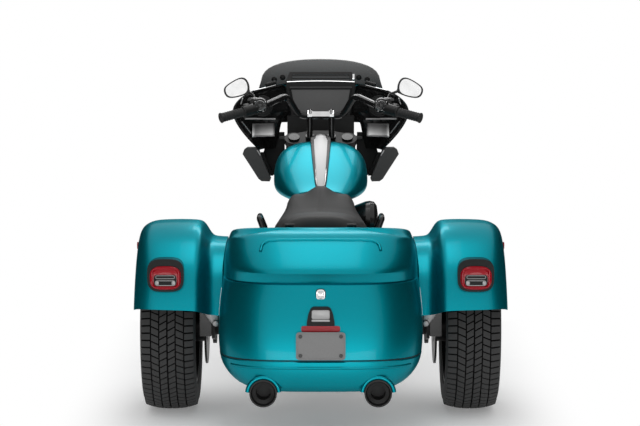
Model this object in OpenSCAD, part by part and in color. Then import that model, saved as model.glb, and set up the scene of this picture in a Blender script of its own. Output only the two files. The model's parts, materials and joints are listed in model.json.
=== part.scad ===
// Three-wheeled touring motorcycle: one steered wheel in front, two driven wheels and a trunk behind.
// X points to the rider's right, Y points forward, Z points up. The origin is on the ground, mid-length.

/* [Stance] */
// Overall length from the rear bumper to the front tyre
overall_length = 2670; // [2600:10:2760]
// Distance between the front and rear axles
wheelbase = 1680; // [1660:5:1700]
// Half of the distance between the two rear tyres' mid planes
rear_half_track = 577; // [572:1:582]

/* [Wheels] */
// Outer radius of the front tyre
front_tyre_r = 319; // [310:1:325]
// Width of the front tyre
front_tyre_w = 130; // [120:1:134]
// Bead radius of the front rim
front_rim_r = 241; // [230:1:250]
// Outer radius of the rear tyres
rear_tyre_r = 325; // [315:1:332]
// Width of the rear tyres
rear_tyre_w = 209; // [195:1:212]
// Bead radius of the rear rims
rear_rim_r = 229; // [215:1:240]
// Number of spokes in each wheel
spoke_count = 10; // [6:1:12]

/* [Steering] */
// Angle of the steering axis from vertical
rake = 26; // [25:0.5:27]
// Angle of the fork legs from vertical
fork_angle = 32; // [31:0.5:33]
// Distance on the ground from the contact patch forward to the steering axis
trail = 99; // [94:1:104]
// Half of the distance between the fork legs
fork_half_spacing = 118; // [112:1:124]
// Radius of the handlebar tube
bar_r = 15; // [12:0.5:16]
// Radius of the rubber grips
grip_r = 19; // [17:0.5:22]

/* [Rear body] */
// Half of the overall width over the rear fenders
fender_half_w = 700; // [696:1:706]
// Height of the rear fenders' crown
fender_top_z = 733; // [725:1:740]
// Thickness of the moulded body panels
panel_t = 5; // [4:0.5:7]
// Thickness of the trunk's and the lid's walls
trunk_wall = 10; // [8:0.5:14]

/* [Exhaust] */
// Radius of the mufflers
muffler_r = 50; // [44:1:52]
// Distance of each muffler from the middle
muffler_x = 208; // [200:1:216]
// Height of the mufflers' centres
muffler_z = 169; // [164:1:175]

/* [Controls] */
// Width of the blank number plate
plate_w = 178; // [160:1:190]
// Height of the blank number plate
plate_h = 102; // [95:1:110]
// Distance between the plate's bolt holes across
plate_bolt_x = 146; // [130:1:150]
// Distance between the plate's bolt holes upwards
plate_bolt_z = 70; // [60:1:76]
// Radius of the plate's bolt holes
plate_hole_r = 3.5; // [2.5:0.25:4.5]

/* [Hidden] */
$fn = 48;

// Colours, as the object shows them.
teal = [0.0, 0.46, 0.52];
gloss_black = [0.03, 0.03, 0.035];
satin_black = [0.07, 0.07, 0.075];
rubber_black = [0.06, 0.06, 0.06];
bright_metal = [0.75, 0.75, 0.76];
cast_grey = [0.32, 0.33, 0.34];
lens_red = [0.55, 0.02, 0.03];
smoke = [0.2, 0.2, 0.21];

// Clearances: seats that stay put, turning fits, and pieces that move past others.
seat_gap = 0.4;
turn_gap = 0.3;
move_gap = 6;

// Places that follow from the driving dimensions.
front_axle_y = overall_length / 2 - front_tyre_r;
rear_axle_y = front_axle_y - wheelbase;
rear_end_y = -overall_length / 2;
front_axle = [0, front_axle_y, front_tyre_r];
rear_axle_at = [0, rear_axle_y, rear_tyre_r];
steer_tan = tan(rake);
steer_ground_y = front_axle_y + trail;
fork_dir = [0, -sin(fork_angle), cos(fork_angle)];
steer_dir = [0, -sin(rake), cos(rake)];

// Small maths.
function unit(v) = v / norm(v);
function lerp(a, b, t) = a + (b - a) * t;
function signed_power(v, e) = sign(v) * pow(abs(v), e);
function mean(points) = [for (p = points) 1] * points / len(points);
function steer_y(z) = steer_ground_y - steer_tan * z;
function fork_at(s) = front_axle + s * fork_dir;
function fork_s(z) = (z - front_tyre_r) / fork_dir.z;

// Smooth curve through a table: the first column is the key, column c is the value.
function span_of(t, x, i = 0) = i >= len(t) - 2 || x < t[i + 1][0] ? i : span_of(t, x, i + 1);
function slope_of(t, i, c) =
    let (a = max(i - 1, 0), b = min(i + 1, len(t) - 1))
    (t[b][c] - t[a][c]) / (t[b][0] - t[a][0]);
function curve(t, x, c) =
    let (
        i = span_of(t, x),
        h = t[i + 1][0] - t[i][0],
        s = min(max((x - t[i][0]) / h, 0), 1),
        rise = s * s * (3 - 2 * s)
    )
    lerp(t[i][c], t[i + 1][c], rise)
    + h * (slope_of(t, i, c) * (s * s * s - 2 * s * s + s) + slope_of(t, i + 1, c) * (s * s * s - s * s));

// Closed skins built from points, turned so that every face looks outward.
function quad(a, b, c, d) = [[a, b, c], [a, c, d]];
function signed_volume(points, faces) =
    [for (f = faces) points[f[0]] * cross(points[f[1]], points[f[2]])] * [for (f = faces) 1];

module skin(points, faces) {
    turned = signed_volume(points, faces) > 0;
    polyhedron(points = points, faces = turned ? [for (f = faces) [f[2], f[1], f[0]]] : faces);
}

// Skin through rings of equal point count, with both ends closed.
module loft(rings) {
    m = len(rings);
    n = len(rings[0]);
    points = concat([for (r = rings) each r], [mean(rings[0]), mean(rings[m - 1])]);
    sides = [for (i = [0:m - 2], j = [0:n - 1])
        each quad(i * n + j, i * n + (j + 1) % n, (i + 1) * n + (j + 1) % n, (i + 1) * n + j)];
    first = [for (j = [0:n - 1]) [m * n, (j + 1) % n, j]];
    last = [for (j = [0:n - 1]) [m * n + 1, (m - 1) * n + j, (m - 1) * n + (j + 1) % n]];
    skin(points, concat(sides, first, last));
}

// Panel of even thickness under a grid of surface points; inside is a point on its hollow side.
function grid_normal(g, i, j) =
    let (
        du = g[min(i + 1, len(g) - 1)][j] - g[max(i - 1, 0)][j],
        dv = g[i][min(j + 1, len(g[0]) - 1)] - g[i][max(j - 1, 0)]
    )
    unit(cross(du, dv));

module sheet(g, t, inside) {
    m = len(g);
    n = len(g[0]);
    k = m * n;
    mid = [floor(m / 2), floor(n / 2)];
    side = (g[mid[0]][mid[1]] - inside) * grid_normal(g, mid[0], mid[1]) > 0 ? t : -t;
    hollow = [for (i = [0:m - 1]) [for (j = [0:n - 1]) g[i][j] - side * grid_normal(g, i, j)]];
    points = concat([for (r = g) each r], [for (r = hollow) each r]);
    faces = concat(
        [for (i = [0:m - 2], j = [0:n - 2])
            each quad(i * n + j, i * n + j + 1, (i + 1) * n + j + 1, (i + 1) * n + j)],
        [for (i = [0:m - 2], j = [0:n - 2])
            each quad(k + i * n + j, k + (i + 1) * n + j, k + (i + 1) * n + j + 1, k + i * n + j + 1)],
        [for (j = [0:n - 2]) each quad(j + 1, j, k + j, k + j + 1)],
        [for (j = [0:n - 2], e = [(m - 1) * n]) each quad(e + j, e + j + 1, k + e + j + 1, k + e + j)],
        [for (i = [0:m - 2]) each quad(i * n, (i + 1) * n, k + (i + 1) * n, k + i * n)],
        [for (i = [1:m - 1]) each quad(i * n + n - 1, i * n - 1, k + i * n - 1, k + i * n + n - 1)]
    );
    skin(points, faces);
}

// Round tube along a path whose corners are rounded.
function corner(p, i, r, steps) =
    let (
        into = unit(p[i] - p[i - 1]),
        out = unit(p[i + 1] - p[i]),
        turn = acos(into * out),
        start = p[i] - into * r * tan(turn / 2),
        across = unit(out - into * cos(turn))
    )
    [for (k = [0:steps]) start + into * r * sin(turn * k / steps) + across * r * (1 - cos(turn * k / steps))];
function rounded(p, r, steps) =
    concat([p[0]], [for (i = [1:len(p) - 2]) each corner(p, i, r, steps)], [p[len(p) - 1]]);
function tangent(p, i) = unit(p[min(i + 1, len(p) - 1)] - p[max(i - 1, 0)]);
function carried(p, v, i = 0) =
    i == len(p) ? [] :
    let (t = tangent(p, i), u = unit(v - t * (v * t)))
    concat([u], carried(p, u, i + 1));

module tube(corners, r, bend_r = 60, sides = 12, steps = 4) {
    path = len(corners) > 2 ? rounded(corners, bend_r, steps) : corners;
    t0 = tangent(path, 0);
    us = carried(path, abs(t0.z) < 0.9 ? [0, 0, 1] : [1, 0, 0]);
    loft([for (i = [0:len(path) - 1])
        let (w = cross(tangent(path, i), us[i]))
        [for (k = [0:sides - 1]) path[i] + r * (cos(360 * k / sides) * us[i] + sin(360 * k / sides) * w)]]);
}

// Cylinder between two points.
module rod(a, b, r, r2 = undef) {
    d = b - a;
    translate(a)
        rotate([0, acos(d.z / norm(d)), atan2(d.y, d.x)])
            cylinder(h = norm(d), r1 = r, r2 = is_undef(r2) ? r : r2);
}

module both() {
    children();
    mirror([1, 0, 0]) children();
}

// Turns a shape drawn round Z so that it lies round X.
module round_x() {
    rotate([0, 90, 0]) children();
}

// Outline with rounded corners: half sizes w and h, roundness n.
function rounded_box(w, h, n, count) =
    [for (k = [0:count - 1]) let (a = 360 * k / count)
        [w * signed_power(cos(a), 2 / n), h * signed_power(sin(a), 2 / n)]];

// Boss with a flat rear face at y_flat; its other end follows the surface y = back(x, z).
module surface_boss(outline, centre, y_flat, back) {
    shrink = [0.35, 0.7, 1];
    loft(concat(
        [for (s = shrink) [for (p = outline)
            let (x = centre.x + s * p.x, z = centre.y + s * p.y) [x, back(x, z) - seat_gap, z]]],
        [[for (p = outline) [centre.x + p.x, y_flat, centre.y + p.y]]]
    ));
}

// Rear body. Columns: height, half width, rearmost y, foremost y.
tub_rows = [
    [171, 284, -1290, -800],
    [187, 315, -1309, -796],
    [215, 346, -1321, -792],
    [250, 368, -1326, -790],
    [288, 378, -1326, -790],
    [360, 383, -1320, -790],
    [450, 379, -1303, -790],
    [505, 373, -1288, -788],
    [535, 369, -1279, -742],
    [562, 365, -1272, -706]
];
lid_rows = [
    [562, 365, -1272, -700],
    [585, 364, -1281, -700],
    [601, 362, -1292, -700],
    [616, 361, -1288, -700],
    [660, 356, -1247, -700],
    [694, 347, -1208, -700],
    [708, 341, -1188, -730],
    [720, 332, -1166, -815],
    [729, 314, -1142, -890],
    [735, 282, -1112, -950],
    [739, 216, -1072, -1000],
    [740, 120, -1050, -1020]
];
rear_round = 3.6;
front_round = 9;
lid_front_round = 3;
body_points = 48;
seam_chamfer = 4;
bumper_seam_z = 288;
lid_seam_z = 562;

function body_side(z) = z < lid_seam_z ? curve(tub_rows, z, 1) : curve(lid_rows, z, 1);
function body_mid(rows, z) = lerp(curve(rows, z, 2), curve(rows, z, 3), 0.72);
function body_point(rows, z, inset, a) =
    let (
        n = sin(a) < 0 ? rear_round : lerp(front_round, lid_front_round, min(max((z - 640) / 60, 0), 1)),
        mid = body_mid(rows, z),
        deep = (sin(a) < 0 ? mid - curve(rows, z, 2) : curve(rows, z, 3) - mid) - inset
    )
    [(curve(rows, z, 1) - inset) * signed_power(cos(a), 2 / n), mid + deep * signed_power(sin(a), 2 / n)];
function body_ring(rows, z, inset, at_z, lift = 0) =
    [for (k = [0:body_points - 1])
        let (
            a = 360 * k / body_points,
            p = body_point(rows, z, inset, a),
            corner = sin(a) < 0 ? max(abs(p.x) / curve(rows, z, 1) - 0.7, 0) / 0.3 : 0
        )
        [p.x, p.y, at_z + lift * corner * corner]];
function tub_rear(x, z) =
    let (mid = body_mid(tub_rows, z))
    mid - (mid - curve(tub_rows, z, 2)) * pow(1 - pow(abs(x / curve(tub_rows, z, 1)), rear_round), 1 / rear_round);

module trunk_tub() {
    low = bumper_seam_z + seat_gap;
    high = lid_seam_z - 0.2;
    floor_z = low + trunk_wall;
    color(teal)
    loft(concat(
        [for (z = [floor_z, 360, 450, 505, 535, high]) body_ring(tub_rows, z, trunk_wall, z)],
        [for (s = [[high, seam_chamfer], [high - seam_chamfer, 0]]) body_ring(tub_rows, s[0], s[1], s[0])],
        [for (z = [535, 505, 450, 405, 360, 320]) body_ring(tub_rows, z, 0, z)],
        [for (s = [[low + seam_chamfer, 0], [low, seam_chamfer]]) body_ring(tub_rows, s[0], s[1], s[0])]
    ));
}

// Lid hinge: a butt hinge on each side, its pin above the seam between cowl and lid,
// its moving leaf down the lid's front wall.
hinge_y = -697;
hinge_z = 717.5;
hinge_x = 120;
hinge_pin_r = 3;
hinge_r = 6;
hinge_half = 18;
knuckle_half = 8;
// Rise of the lid's lip at its two rear corners.
lip_lift = 26;

module trunk_lid() {
    low = lid_seam_z + 0.2;
    color(teal)
    loft(concat(
        [body_ring(lid_rows, 720, 1.5 * trunk_wall, 720 - 1.2 * trunk_wall)],
        [for (z = [690, 660, 622, 585, low]) body_ring(lid_rows, z, trunk_wall, z)],
        [for (s = [[low, seam_chamfer], [low + seam_chamfer, 0]]) body_ring(lid_rows, s[0], s[1], s[0])],
        [for (i = [1:len(lid_rows) - 1])
            let (z = lid_rows[i][0]) body_ring(lid_rows, z, 0, z, lip_lift * sin(180 * (z - 562) / (694 - 562)))]
    ));
}

// Leaves that open with the lid, with their pins.
module lid_leaves() {
    side = knuckle_half + turn_gap;
    leaf_t = 3;
    leaf_y = lid_rows[0][3] + seat_gap + leaf_t - hinge_y;
    color(satin_black)
    both()
    translate([hinge_x, hinge_y, hinge_z])
    union() {
        translate([-hinge_half, 0, 0]) round_x() cylinder(h = 2 * hinge_half, r = hinge_pin_r);
        for (x = [-hinge_half, side]) {
            translate([x, 0, 0]) round_x() cylinder(h = hinge_half - side, r = hinge_r);
            translate([x, -leaf_t + leaf_y, -30]) cube([hinge_half - side, leaf_t, 30]);
        }
        translate([-hinge_half, -leaf_t + leaf_y, -100]) cube([2 * hinge_half, leaf_t, 92]);
    }
}

// Leaves fixed on the cowl.
module lid_hinges() {
    color(satin_black)
    both()
    translate([hinge_x, hinge_y, hinge_z])
    difference() {
        union() {
            translate([-knuckle_half, 0, 0]) round_x() cylinder(h = 2 * knuckle_half, r = hinge_r);
            translate([-knuckle_half, 1, -5]) cube([2 * knuckle_half, 22, 6]);
            translate([-knuckle_half, 14, -13]) cube([2 * knuckle_half, 9, 12]);
            translate([-hinge_half, 8, -13]) cube([2 * hinge_half, 34, 3]);
        }
        translate([-2 * hinge_half, 0, 0]) round_x() cylinder(h = 4 * hinge_half, r = hinge_pin_r + turn_gap);
    }
}

tip_clear = 12;

module rear_bumper() {
    rows = [for (z = [171, 178, 187, 200, 215, 232, 250, 268, 283]) [z, 0]];
    high = bumper_seam_z - seat_gap;
    angles = [for (k = [0:28]) 180 + 180 * k / 28];
    color(teal)
    difference() {
        sheet([for (r = concat(rows, [[high, seam_chamfer]]))
            [for (a = angles) let (p = body_point(tub_rows, r[0], r[1], a)) [p.x, p.y, r[0]]]],
            trunk_wall - 4, [0, -1000, 240]);
        both()
            translate([muffler_x, -1400, muffler_z])
                rotate([-90, 0, 0]) cylinder(h = 300, r = muffler_r + tip_clear);
    }
}

cowl_half = [
    [360, 560], [359, 610], [357, 645], [351, 668], [338, 684],
    [312, 693], [270, 698.5], [227, 701.5], [120, 704], [0, 704.2]
];

module rear_cowl() {
    profile = concat(cowl_half, [for (i = [len(cowl_half) - 2:-1:0]) [-cowl_half[i].x, cowl_half[i].y]]);
    color(teal)
    sheet([for (y = [-690, -670, -650]) [for (p = profile) [p.x, y, p.y]]], panel_t, [0, -672, 500]);
}

shelf_z = 655;
side_half_w = 366;
// Columns: y, share of the full half width, height of the shelf under the seat.
side_rows = [
    [-649.6, 1.0, shelf_z],
    [-560, 0.99, shelf_z],
    [-480, 0.95, shelf_z],
    [-400, 0.86, shelf_z],
    [-330, 0.74, shelf_z - 12]
];
// Columns: share of half width, height below the shelf.
side_profile = [[0.33, 0], [0.5, 0], [0.68, 0], [0.82, 12], [0.93, 45], [0.985, 90], [1, 140], [0.99, 190]];

module side_panels() {
    color(teal)
    both()
    sheet([for (r = side_rows) [for (p = side_profile) [p[0] * r[1] * side_half_w, r[0], r[2] - p[1]]]],
        panel_t, [150, -500, 500]);
}

// Rear fenders. Angles run from the rear edge over the crown to the front edge.
fender_round = 2.7;
fender_rear = 400;
fender_front = 385;
arch_r = rear_tyre_r + 27;
fender_up = fender_top_z - rear_tyre_r;
// Columns: share of the width from the lip, share of the depth between crown and wheel arch.
fender_outer = [[0.994, 1], [0.992, 0.75], [0.985, 0.5], [0.968, 0.28], [0.94, 0.12], [0.906, 0.03], [0.871, 0]];
// Columns: distance from the middle, depth below the crown.
fender_inner = [[545, -2], [480, 0], [462, 4], [448, 16], [434, 42], [421, 60], [407, 66]];
fender_steps = 20;

function fender_crown(a) =
    [(cos(a) < 0 ? fender_front : fender_rear) * -signed_power(cos(a), 2 / fender_round),
     fender_up * signed_power(sin(a), 2 / fender_round)];
function fender_place(a, x, depth) =
    let (c = fender_crown(a), k = 1 - depth / norm(c))
    [x, rear_axle_y + k * c.x, rear_tyre_r + k * c.y];
function fender_row(s) =
    let (
        count = len(fender_outer) + len(fender_inner) + 1,
        angles = [for (j = [0:count - 1]) lerp(lerp(11.5, 8.5, j / (count - 1)), 168, s)],
        outer = [for (j = [0:len(fender_outer) - 1])
            let (
                a = angles[j],
                q = fender_place(a, 0, fender_outer[j][1] * (norm(fender_crown(a)) - arch_r)),
                flare = 6 * (1 - (q.z - rear_tyre_r) / fender_up)
            )
            [fender_outer[j][0] * fender_half_w + flare * fender_outer[j][1] * 0.9, q.y, q.z]],
        inner = [for (j = [0:len(fender_inner) - 1])
            fender_place(angles[j + len(fender_outer)], fender_inner[j][0], fender_inner[j][1])],
        edge = fender_place(angles[count - 1], 0, 68),
        beside = body_side(edge.z) + (edge.z > lid_seam_z - 8 ? move_gap : -0.2)
    )
    concat(outer, inner, [[beside, edge.y, edge.z]]);

module rear_fenders() {
    grid = [for (i = [0:fender_steps]) fender_row(i / fender_steps)];
    color(teal)
    both() sheet(grid, panel_t, [rear_half_track, rear_axle_y, rear_tyre_r]);
}

function fender_rear_y(z) =
    rear_axle_y - fender_rear * pow(1 - pow((z - rear_tyre_r) / fender_up, fender_round), 1 / fender_round);

lamp_at = [576, 567];
lamp_half = [68, 61];
lamp_face_y = -1058;

module lamp_housings() {
    color(gloss_black)
    both()
    surface_boss(rounded_box(lamp_half.x, lamp_half.y, 3.4, 32), lamp_at, lamp_face_y,
        function(x, z) fender_rear_y(z) - 1.8);
}

module red_lenses() {
    centre = [lamp_at.x, lamp_at.y - 9];
    // Columns: share of the lens outline, distance behind the lamp's face.
    rows = [[0.5, 0], [1, 0], [1, 5], [0.93, 10], [0.78, 13], [0.5, 14]];
    outline = rounded_box(58, 44, 3, 32);
    color(lens_red) {
        both()
        loft([for (r = rows) [for (p = outline)
            [centre.x + r[0] * p.x, lamp_face_y - seat_gap - r[1], centre.y + r[0] * p.y]]]);
        surface_boss(rounded_box(70, 11, 8, 24), [0, reflector_z], -1318, function(x, z) tub_rear(x, z));
    }
}

// Heights of the plate, of the reflector over it and of the plate lamp's hood.
plate_mid_z = 345;
reflector_z = 405;
hood_z = 451;
plate_back_y = rear_end_y + 2;

module plate_holes(depth) {
    for (sx = [-1, 1], sz = [-1, 1])
        translate([sx * plate_bolt_x / 2, rear_end_y - 1, plate_mid_z + sz * plate_bolt_z / 2])
            rotate([-90, 0, 0]) cylinder(h = depth, r = plate_hole_r);
}

module plate_bracket() {
    lamp_outline = [[-50, -33], [50, -33], [50, -22], [44, 8], [36, 27], [26, 33],
        [-26, 33], [-36, 27], [-44, 8], [-50, -22]];
    color(satin_black) {
        difference() {
            surface_boss(rounded_box(plate_w / 2 - 4, plate_h / 2 - 4, 9, 32), [0, plate_mid_z],
                plate_back_y + seat_gap, function(x, z) tub_rear(x, z));
            plate_holes(7);
        }
        surface_boss(lamp_outline, [0, hood_z], -1320, function(x, z) tub_rear(x, z));
    }
}

module number_plate() {
    color([0.62, 0.64, 0.66])
    difference() {
        translate([0, plate_back_y, plate_mid_z])
            rotate([90, 0, 0]) linear_extrude(2) polygon(rounded_box(plate_w / 2, plate_h / 2, 12, 40));
        plate_holes(4);
    }
}

module grab_handles() {
    foot_z = shelf_z + seat_gap;
    color(satin_black)
    both()
    tube([[222, -612, foot_z], [222, -612, 686], [240, -590, 733], [240, -470, 733], [222, -448, 686],
        [222, -448, foot_z]], 11, 14, 10, 3);
}

// Tank and seat. Columns: y, half width, lowest height, top height.
tank_rows = [
    [30, 105, 742, 788],
    [80, 138, 732, 806],
    [160, 170, 726, 842],
    [250, 196, 722, 882],
    [330, 203, 722, 916],
    [400, 199, 728, 944],
    [450, 184, 742, 960],
    [490, 150, 765, 966],
    [515, 105, 800, 960]
];
tank_low_round = 2.3;
tank_waist = 0.42;

// The shoulders grow squarer toward the front.
function tank_round(y) = lerp(tank_low_round, 3.6, min(max((y - 60) / 340, 0), 1));
function tank_waist_z(y) = lerp(curve(tank_rows, y, 2), curve(tank_rows, y, 3), tank_waist);
function tank_ring(y, count) =
    let (mid = tank_waist_z(y))
    [for (k = [0:count - 1])
        let (a = 360 * k / count, up = sin(a) > 0, n = up ? tank_round(y) : tank_low_round)
        [curve(tank_rows, y, 1) * signed_power(cos(a), 2 / n), y,
         mid + abs(curve(tank_rows, y, up ? 3 : 2) - mid) * signed_power(sin(a), 2 / n)]];
function tank_top(x, y) =
    let (mid = tank_waist_z(y), n = tank_round(y))
    mid + (curve(tank_rows, y, 3) - mid) * pow(1 - pow(abs(x / curve(tank_rows, y, 1)), n), 1 / n);

backbone = [[0, 712, 812], [0, -20, 705], [0, -125, 622], [0, -330, 598]];
backbone_r = 22;

module fuel_tank() {
    slope = atan2(backbone[0].z - backbone[1].z, backbone[0].y - backbone[1].y);
    color(teal)
    difference() {
        loft([for (y = [30, 50, 80, 120, 160, 205, 250, 290, 330, 365, 400, 428, 450, 470, 490, 504, 515])
            tank_ring(y, 32)]);
        translate(backbone[1])
            rotate([slope, 0, 0])
                translate([-32, -50, -200]) cube([64, 800, 200 + backbone_r + 0.6]);
    }
}

module tank_console() {
    // Columns: y, half width, thickness.
    rows = [[42, 14, 4], [70, 22, 8], [120, 27, 10], [200, 32, 11], [300, 38, 12], [400, 43, 13], [450, 45, 14],
        [480, 45, 22], [496, 43, 29], [508, 40, 31]];
    shares = [-1, -0.6, -0.2, 0.2, 0.6, 1];
    gap = 0.8;
    color(cast_grey)
    loft([for (r = rows) concat(
        [for (s = shares) [s * r[1], r[0], tank_top(s * r[1], r[0]) + gap]],
        [for (i = [5:-1:0]) let (s = shares[i] * 0.94)
            [s * r[1], r[0], tank_top(s * r[1], r[0]) + gap + r[2] * (1 - 0.3 * s * s)]]
    )]);
}

// The seat's base lies on the side panels' shelves.
seat_base = shelf_z + seat_gap;
// Columns: y, half width, base height, top height.
seat_rows = [
    [-640, 118, seat_base, 732],
    [-615, 148, seat_base, 745],
    [-560, 165, seat_base, 749],
    [-450, 178, seat_base, 747],
    [-410, 184, seat_base, 738],
    [-350, 190, seat_base, 716],
    [-270, 188, seat_base, 716],
    [-190, 178, seat_base, 736],
    [-110, 160, 666, 766],
    [-40, 138, 719, 793],
    [0, 120, 742, 801],
    [tank_rows[0][0] - seat_gap, 100, 744, 799]
];

module seat() {
    color(rubber_black)
    loft([for (r = seat_rows) [for (k = [0:31]) let (a = 360 * k / 32)
        [r[1] * signed_power(cos(a), 0.7), r[0],
         sin(a) > 0 ? r[2] + (r[3] - r[2]) * signed_power(sin(a), 0.8) : r[2]]]]);
}

// Frame and engine.
crank = [0, 190, 265];
bank = 22.5;
rail_z = 140;
rail_x = 130;
rail_r = 15;

module frame() {
    neck_low = [0, steer_y(752), 752];
    neck_high = [0, steer_y(898), 898];
    color(gloss_black)
    difference() {
        union() {
            rod(neck_low, neck_high, 36);
            tube(backbone, backbone_r, 60, 12, 3);
            both() {
                tube([[10, 725, 800], [60, 660, 690], [105, 540, 270], [rail_x, 440, rail_z],
                    [rail_x, -230, rail_z], [rail_x, -290, 340], [105, -330, 592], [0, -330, 598]], rail_r, 45, 12, 4);
                tube([[100, -320, 560], [150, -470, 490], [150, -600, 470], [150, -788.8, 470]], rail_r, 60, 10, 3);
                tube([[150, -590, 472], [302, -563.7, 563.6]], 10, 60, 10, 3);
            }
            tube([[0, 715, 830], [0, 776, 905], [0, 776, 1059.6]], 13, 40, 10, 4);
            tube([[-186, 806, 962], [0, 780, 962], [186, 806, 962]], 9, 80, 10, 3);
        }
        rod(neck_low - 40 * steer_dir, neck_high + 40 * steer_dir, 24 + turn_gap);
    }
}

module on_cylinder(s) {
    translate(crank) rotate([-s * bank, 0, 0]) children();
}

module engine_case() {
    color(satin_black)
    difference() {
        union() {
            translate(crank) round_x() cylinder(h = 200, r = 135, center = true);
            translate([-98, -205, 180]) cube([196, 330, 200]);
            for (s = [-1, 1]) on_cylinder(s) cylinder(h = 168, r = 60);
            both() rod([90, crank.y, rail_z + 4], [rail_x - rail_r - 0.3, crank.y, rail_z + 4], 10);
        }
        for (s = [-1, 1]) on_cylinder(s) translate([0, 0, -seat_gap]) pushrods(s, 200, 9 + seat_gap);
    }
}

// First run of each exhaust pipe, out of its cylinder head.
front_port = [[0, 394, 544], [60, 440, 520]];
rear_port = [[0, -13, 544], [60, -60, 520]];

module cylinders() {
    fin_pitch = 12;
    color(satin_black)
    difference() {
        for (s = [-1, 1])
            on_cylinder(s) {
                translate([0, 0, 168 + seat_gap]) cylinder(h = 203, r = 52);
                for (i = [0:8]) translate([0, 0, 197 + i * fin_pitch]) cylinder(h = 5, r = 72);
                for (i = [0:4]) translate([0, 0, 308 + i * 14]) cylinder(h = 7, r = 80);
            }
        for (p = [front_port, rear_port]) rod(lerp(p[0], p[1], -0.01), lerp(p[0], p[1], 0.4), pipe_r + seat_gap);
    }
}

pushrod_low = 128;

// Pushrod tubes of one cylinder up to a given height.
module pushrods(s, high, r) {
    for (t = [-18, 18]) translate([95, t - s * 16, pushrod_low]) cylinder(h = high - pushrod_low, r = r);
}

module rocker_covers() {
    base = 372 + seat_gap;
    color(bright_metal)
    for (s = [-1, 1])
        on_cylinder(s)
            union() {
                translate([0, 0, base]) linear_extrude(24) polygon(rounded_box(70, 62, 6, 32));
                translate([0, 0, base + 20]) linear_extrude(20) polygon(rounded_box(62, 54, 6, 32));
                translate([60, -34, base]) cube([48, 68, 12]);
                pushrods(s, base + 2, 9);
            }
}

module engine_covers() {
    color(satin_black) {
        translate([100 + seat_gap, crank.y, crank.z + 8]) round_x() cylinder(h = 42, r1 = 96, r2 = 84);
        hull() {
            translate([-182, crank.y, crank.z]) round_x() cylinder(h = 82 - seat_gap, r1 = 86, r2 = 98, $fn = 40);
            translate([-182, -120, 290]) round_x() cylinder(h = 82 - seat_gap, r1 = 98, r2 = 110, $fn = 40);
        }
    }
}

module air_cleaner() {
    // Columns: radius, distance from the middle.
    profile = [[0, 118], [62, 118], [78, 150], [93, 190], [96, 208], [92, 226], [76, 238], [40, 243], [0, 243]];
    color(gloss_black)
    union() {
        translate([0, 172, 637]) round_x() rotate_extrude() polygon(profile);
        translate([0, crank.y, 610]) round_x() cylinder(h = 125, r = 21);
        rod([0, crank.y - 48.9, 610], [0, crank.y + 48.9, 610], 22);
    }
}

pipe_r = 24;

module exhaust_pipes() {
    start_y = -699.5;
    color(cast_grey)
    union() {
        tube([front_port[0], front_port[1], [160, 420, 420], [178, 330, 240], [178, 100, 225], [178, -330, 205],
            [muffler_x, -560, muffler_z], [muffler_x, start_y, muffler_z]], pipe_r, 50, 12, 3);
        tube([rear_port[0], rear_port[1], [168, -70, 400], [178, -130, 219]], pipe_r, 45, 12, 3);
        tube([[178, -300, 206], [100, -390, 195], [-120, -430, 190], [-muffler_x, -560, muffler_z],
            [-muffler_x, start_y, muffler_z]], pipe_r, 60, 12, 3);
    }
}

module mufflers() {
    long = 618;
    // Columns: radius, distance from the front end.
    profile = [[0, 0], [30, 0], [muffler_r, 50], [muffler_r, long], [muffler_r - 5, long], [muffler_r - 10, long - 16],
        [27, long - 22], [27, long - 90], [0, long - 90]];
    color(gloss_black)
    both()
    translate([muffler_x, -700, muffler_z]) rotate([90, 0, 0]) rotate_extrude() polygon(profile);
}

module oil_cooler() {
    color(satin_black)
    translate([-73, 560, 300]) cube([146, 30, 130]);
}

module footboards() {
    color(satin_black)
    both() {
        translate([212, 130, 236]) linear_extrude(14) polygon([for (p = rounded_box(60, 150, 5, 32)) [p.x + 60, p.y + 130]]);
        tube([[rail_x + rail_r - 0.6, 330, rail_z + 4], [200, 330, 160], [240, 330, 234]], 10, 25, 10, 3);
    }
}

module foot_controls() {
    color(satin_black) {
        both()
        tube([[rail_x + rail_r + seat_gap, 380, rail_z], [180, 385, rail_z], [215, 470, 290], [290, 470, 310]], 9, 18, 10, 3);
    }
}

// Rear axle and what hangs on it.
axle_tube_r = 38;
spindle_r = 20;
disc_x = rear_half_track - 135;
disc_r = 150;

module rear_axle() {
    // Columns: radius, distance from the middle.
    half = [[112, 0], [108, 40], [88, 90], [55, 130], [axle_tube_r, 150], [axle_tube_r, 403], [72, 404], [72, 418],
        [spindle_r, 419], [spindle_r, 628], [0, 628]];
    profile = concat([[0, -628]], [for (i = [len(half) - 2:-1:0]) [half[i].x, -half[i].y]], half);
    color(cast_grey)
    translate(rear_axle_at)
    union() {
        round_x() rotate_extrude() polygon(profile);
        both() translate([405, 0, 0]) rotate([90, 0, 90]) linear_extrude(12) polygon([[-10, 60], [-150, 95], [-178, 60], [-150, -30], [-10, -60]]);
    }
}

module rear_calipers() {
    color(satin_black)
    both()
    difference() {
        translate([417 + seat_gap, rear_axle_y - 172, rear_tyre_r - 20]) cube([44, 60, 110]);
        translate([disc_x - 7, rear_axle_y, rear_tyre_r]) round_x() cylinder(h = 14, r = disc_r + 5);
    }
}

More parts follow.
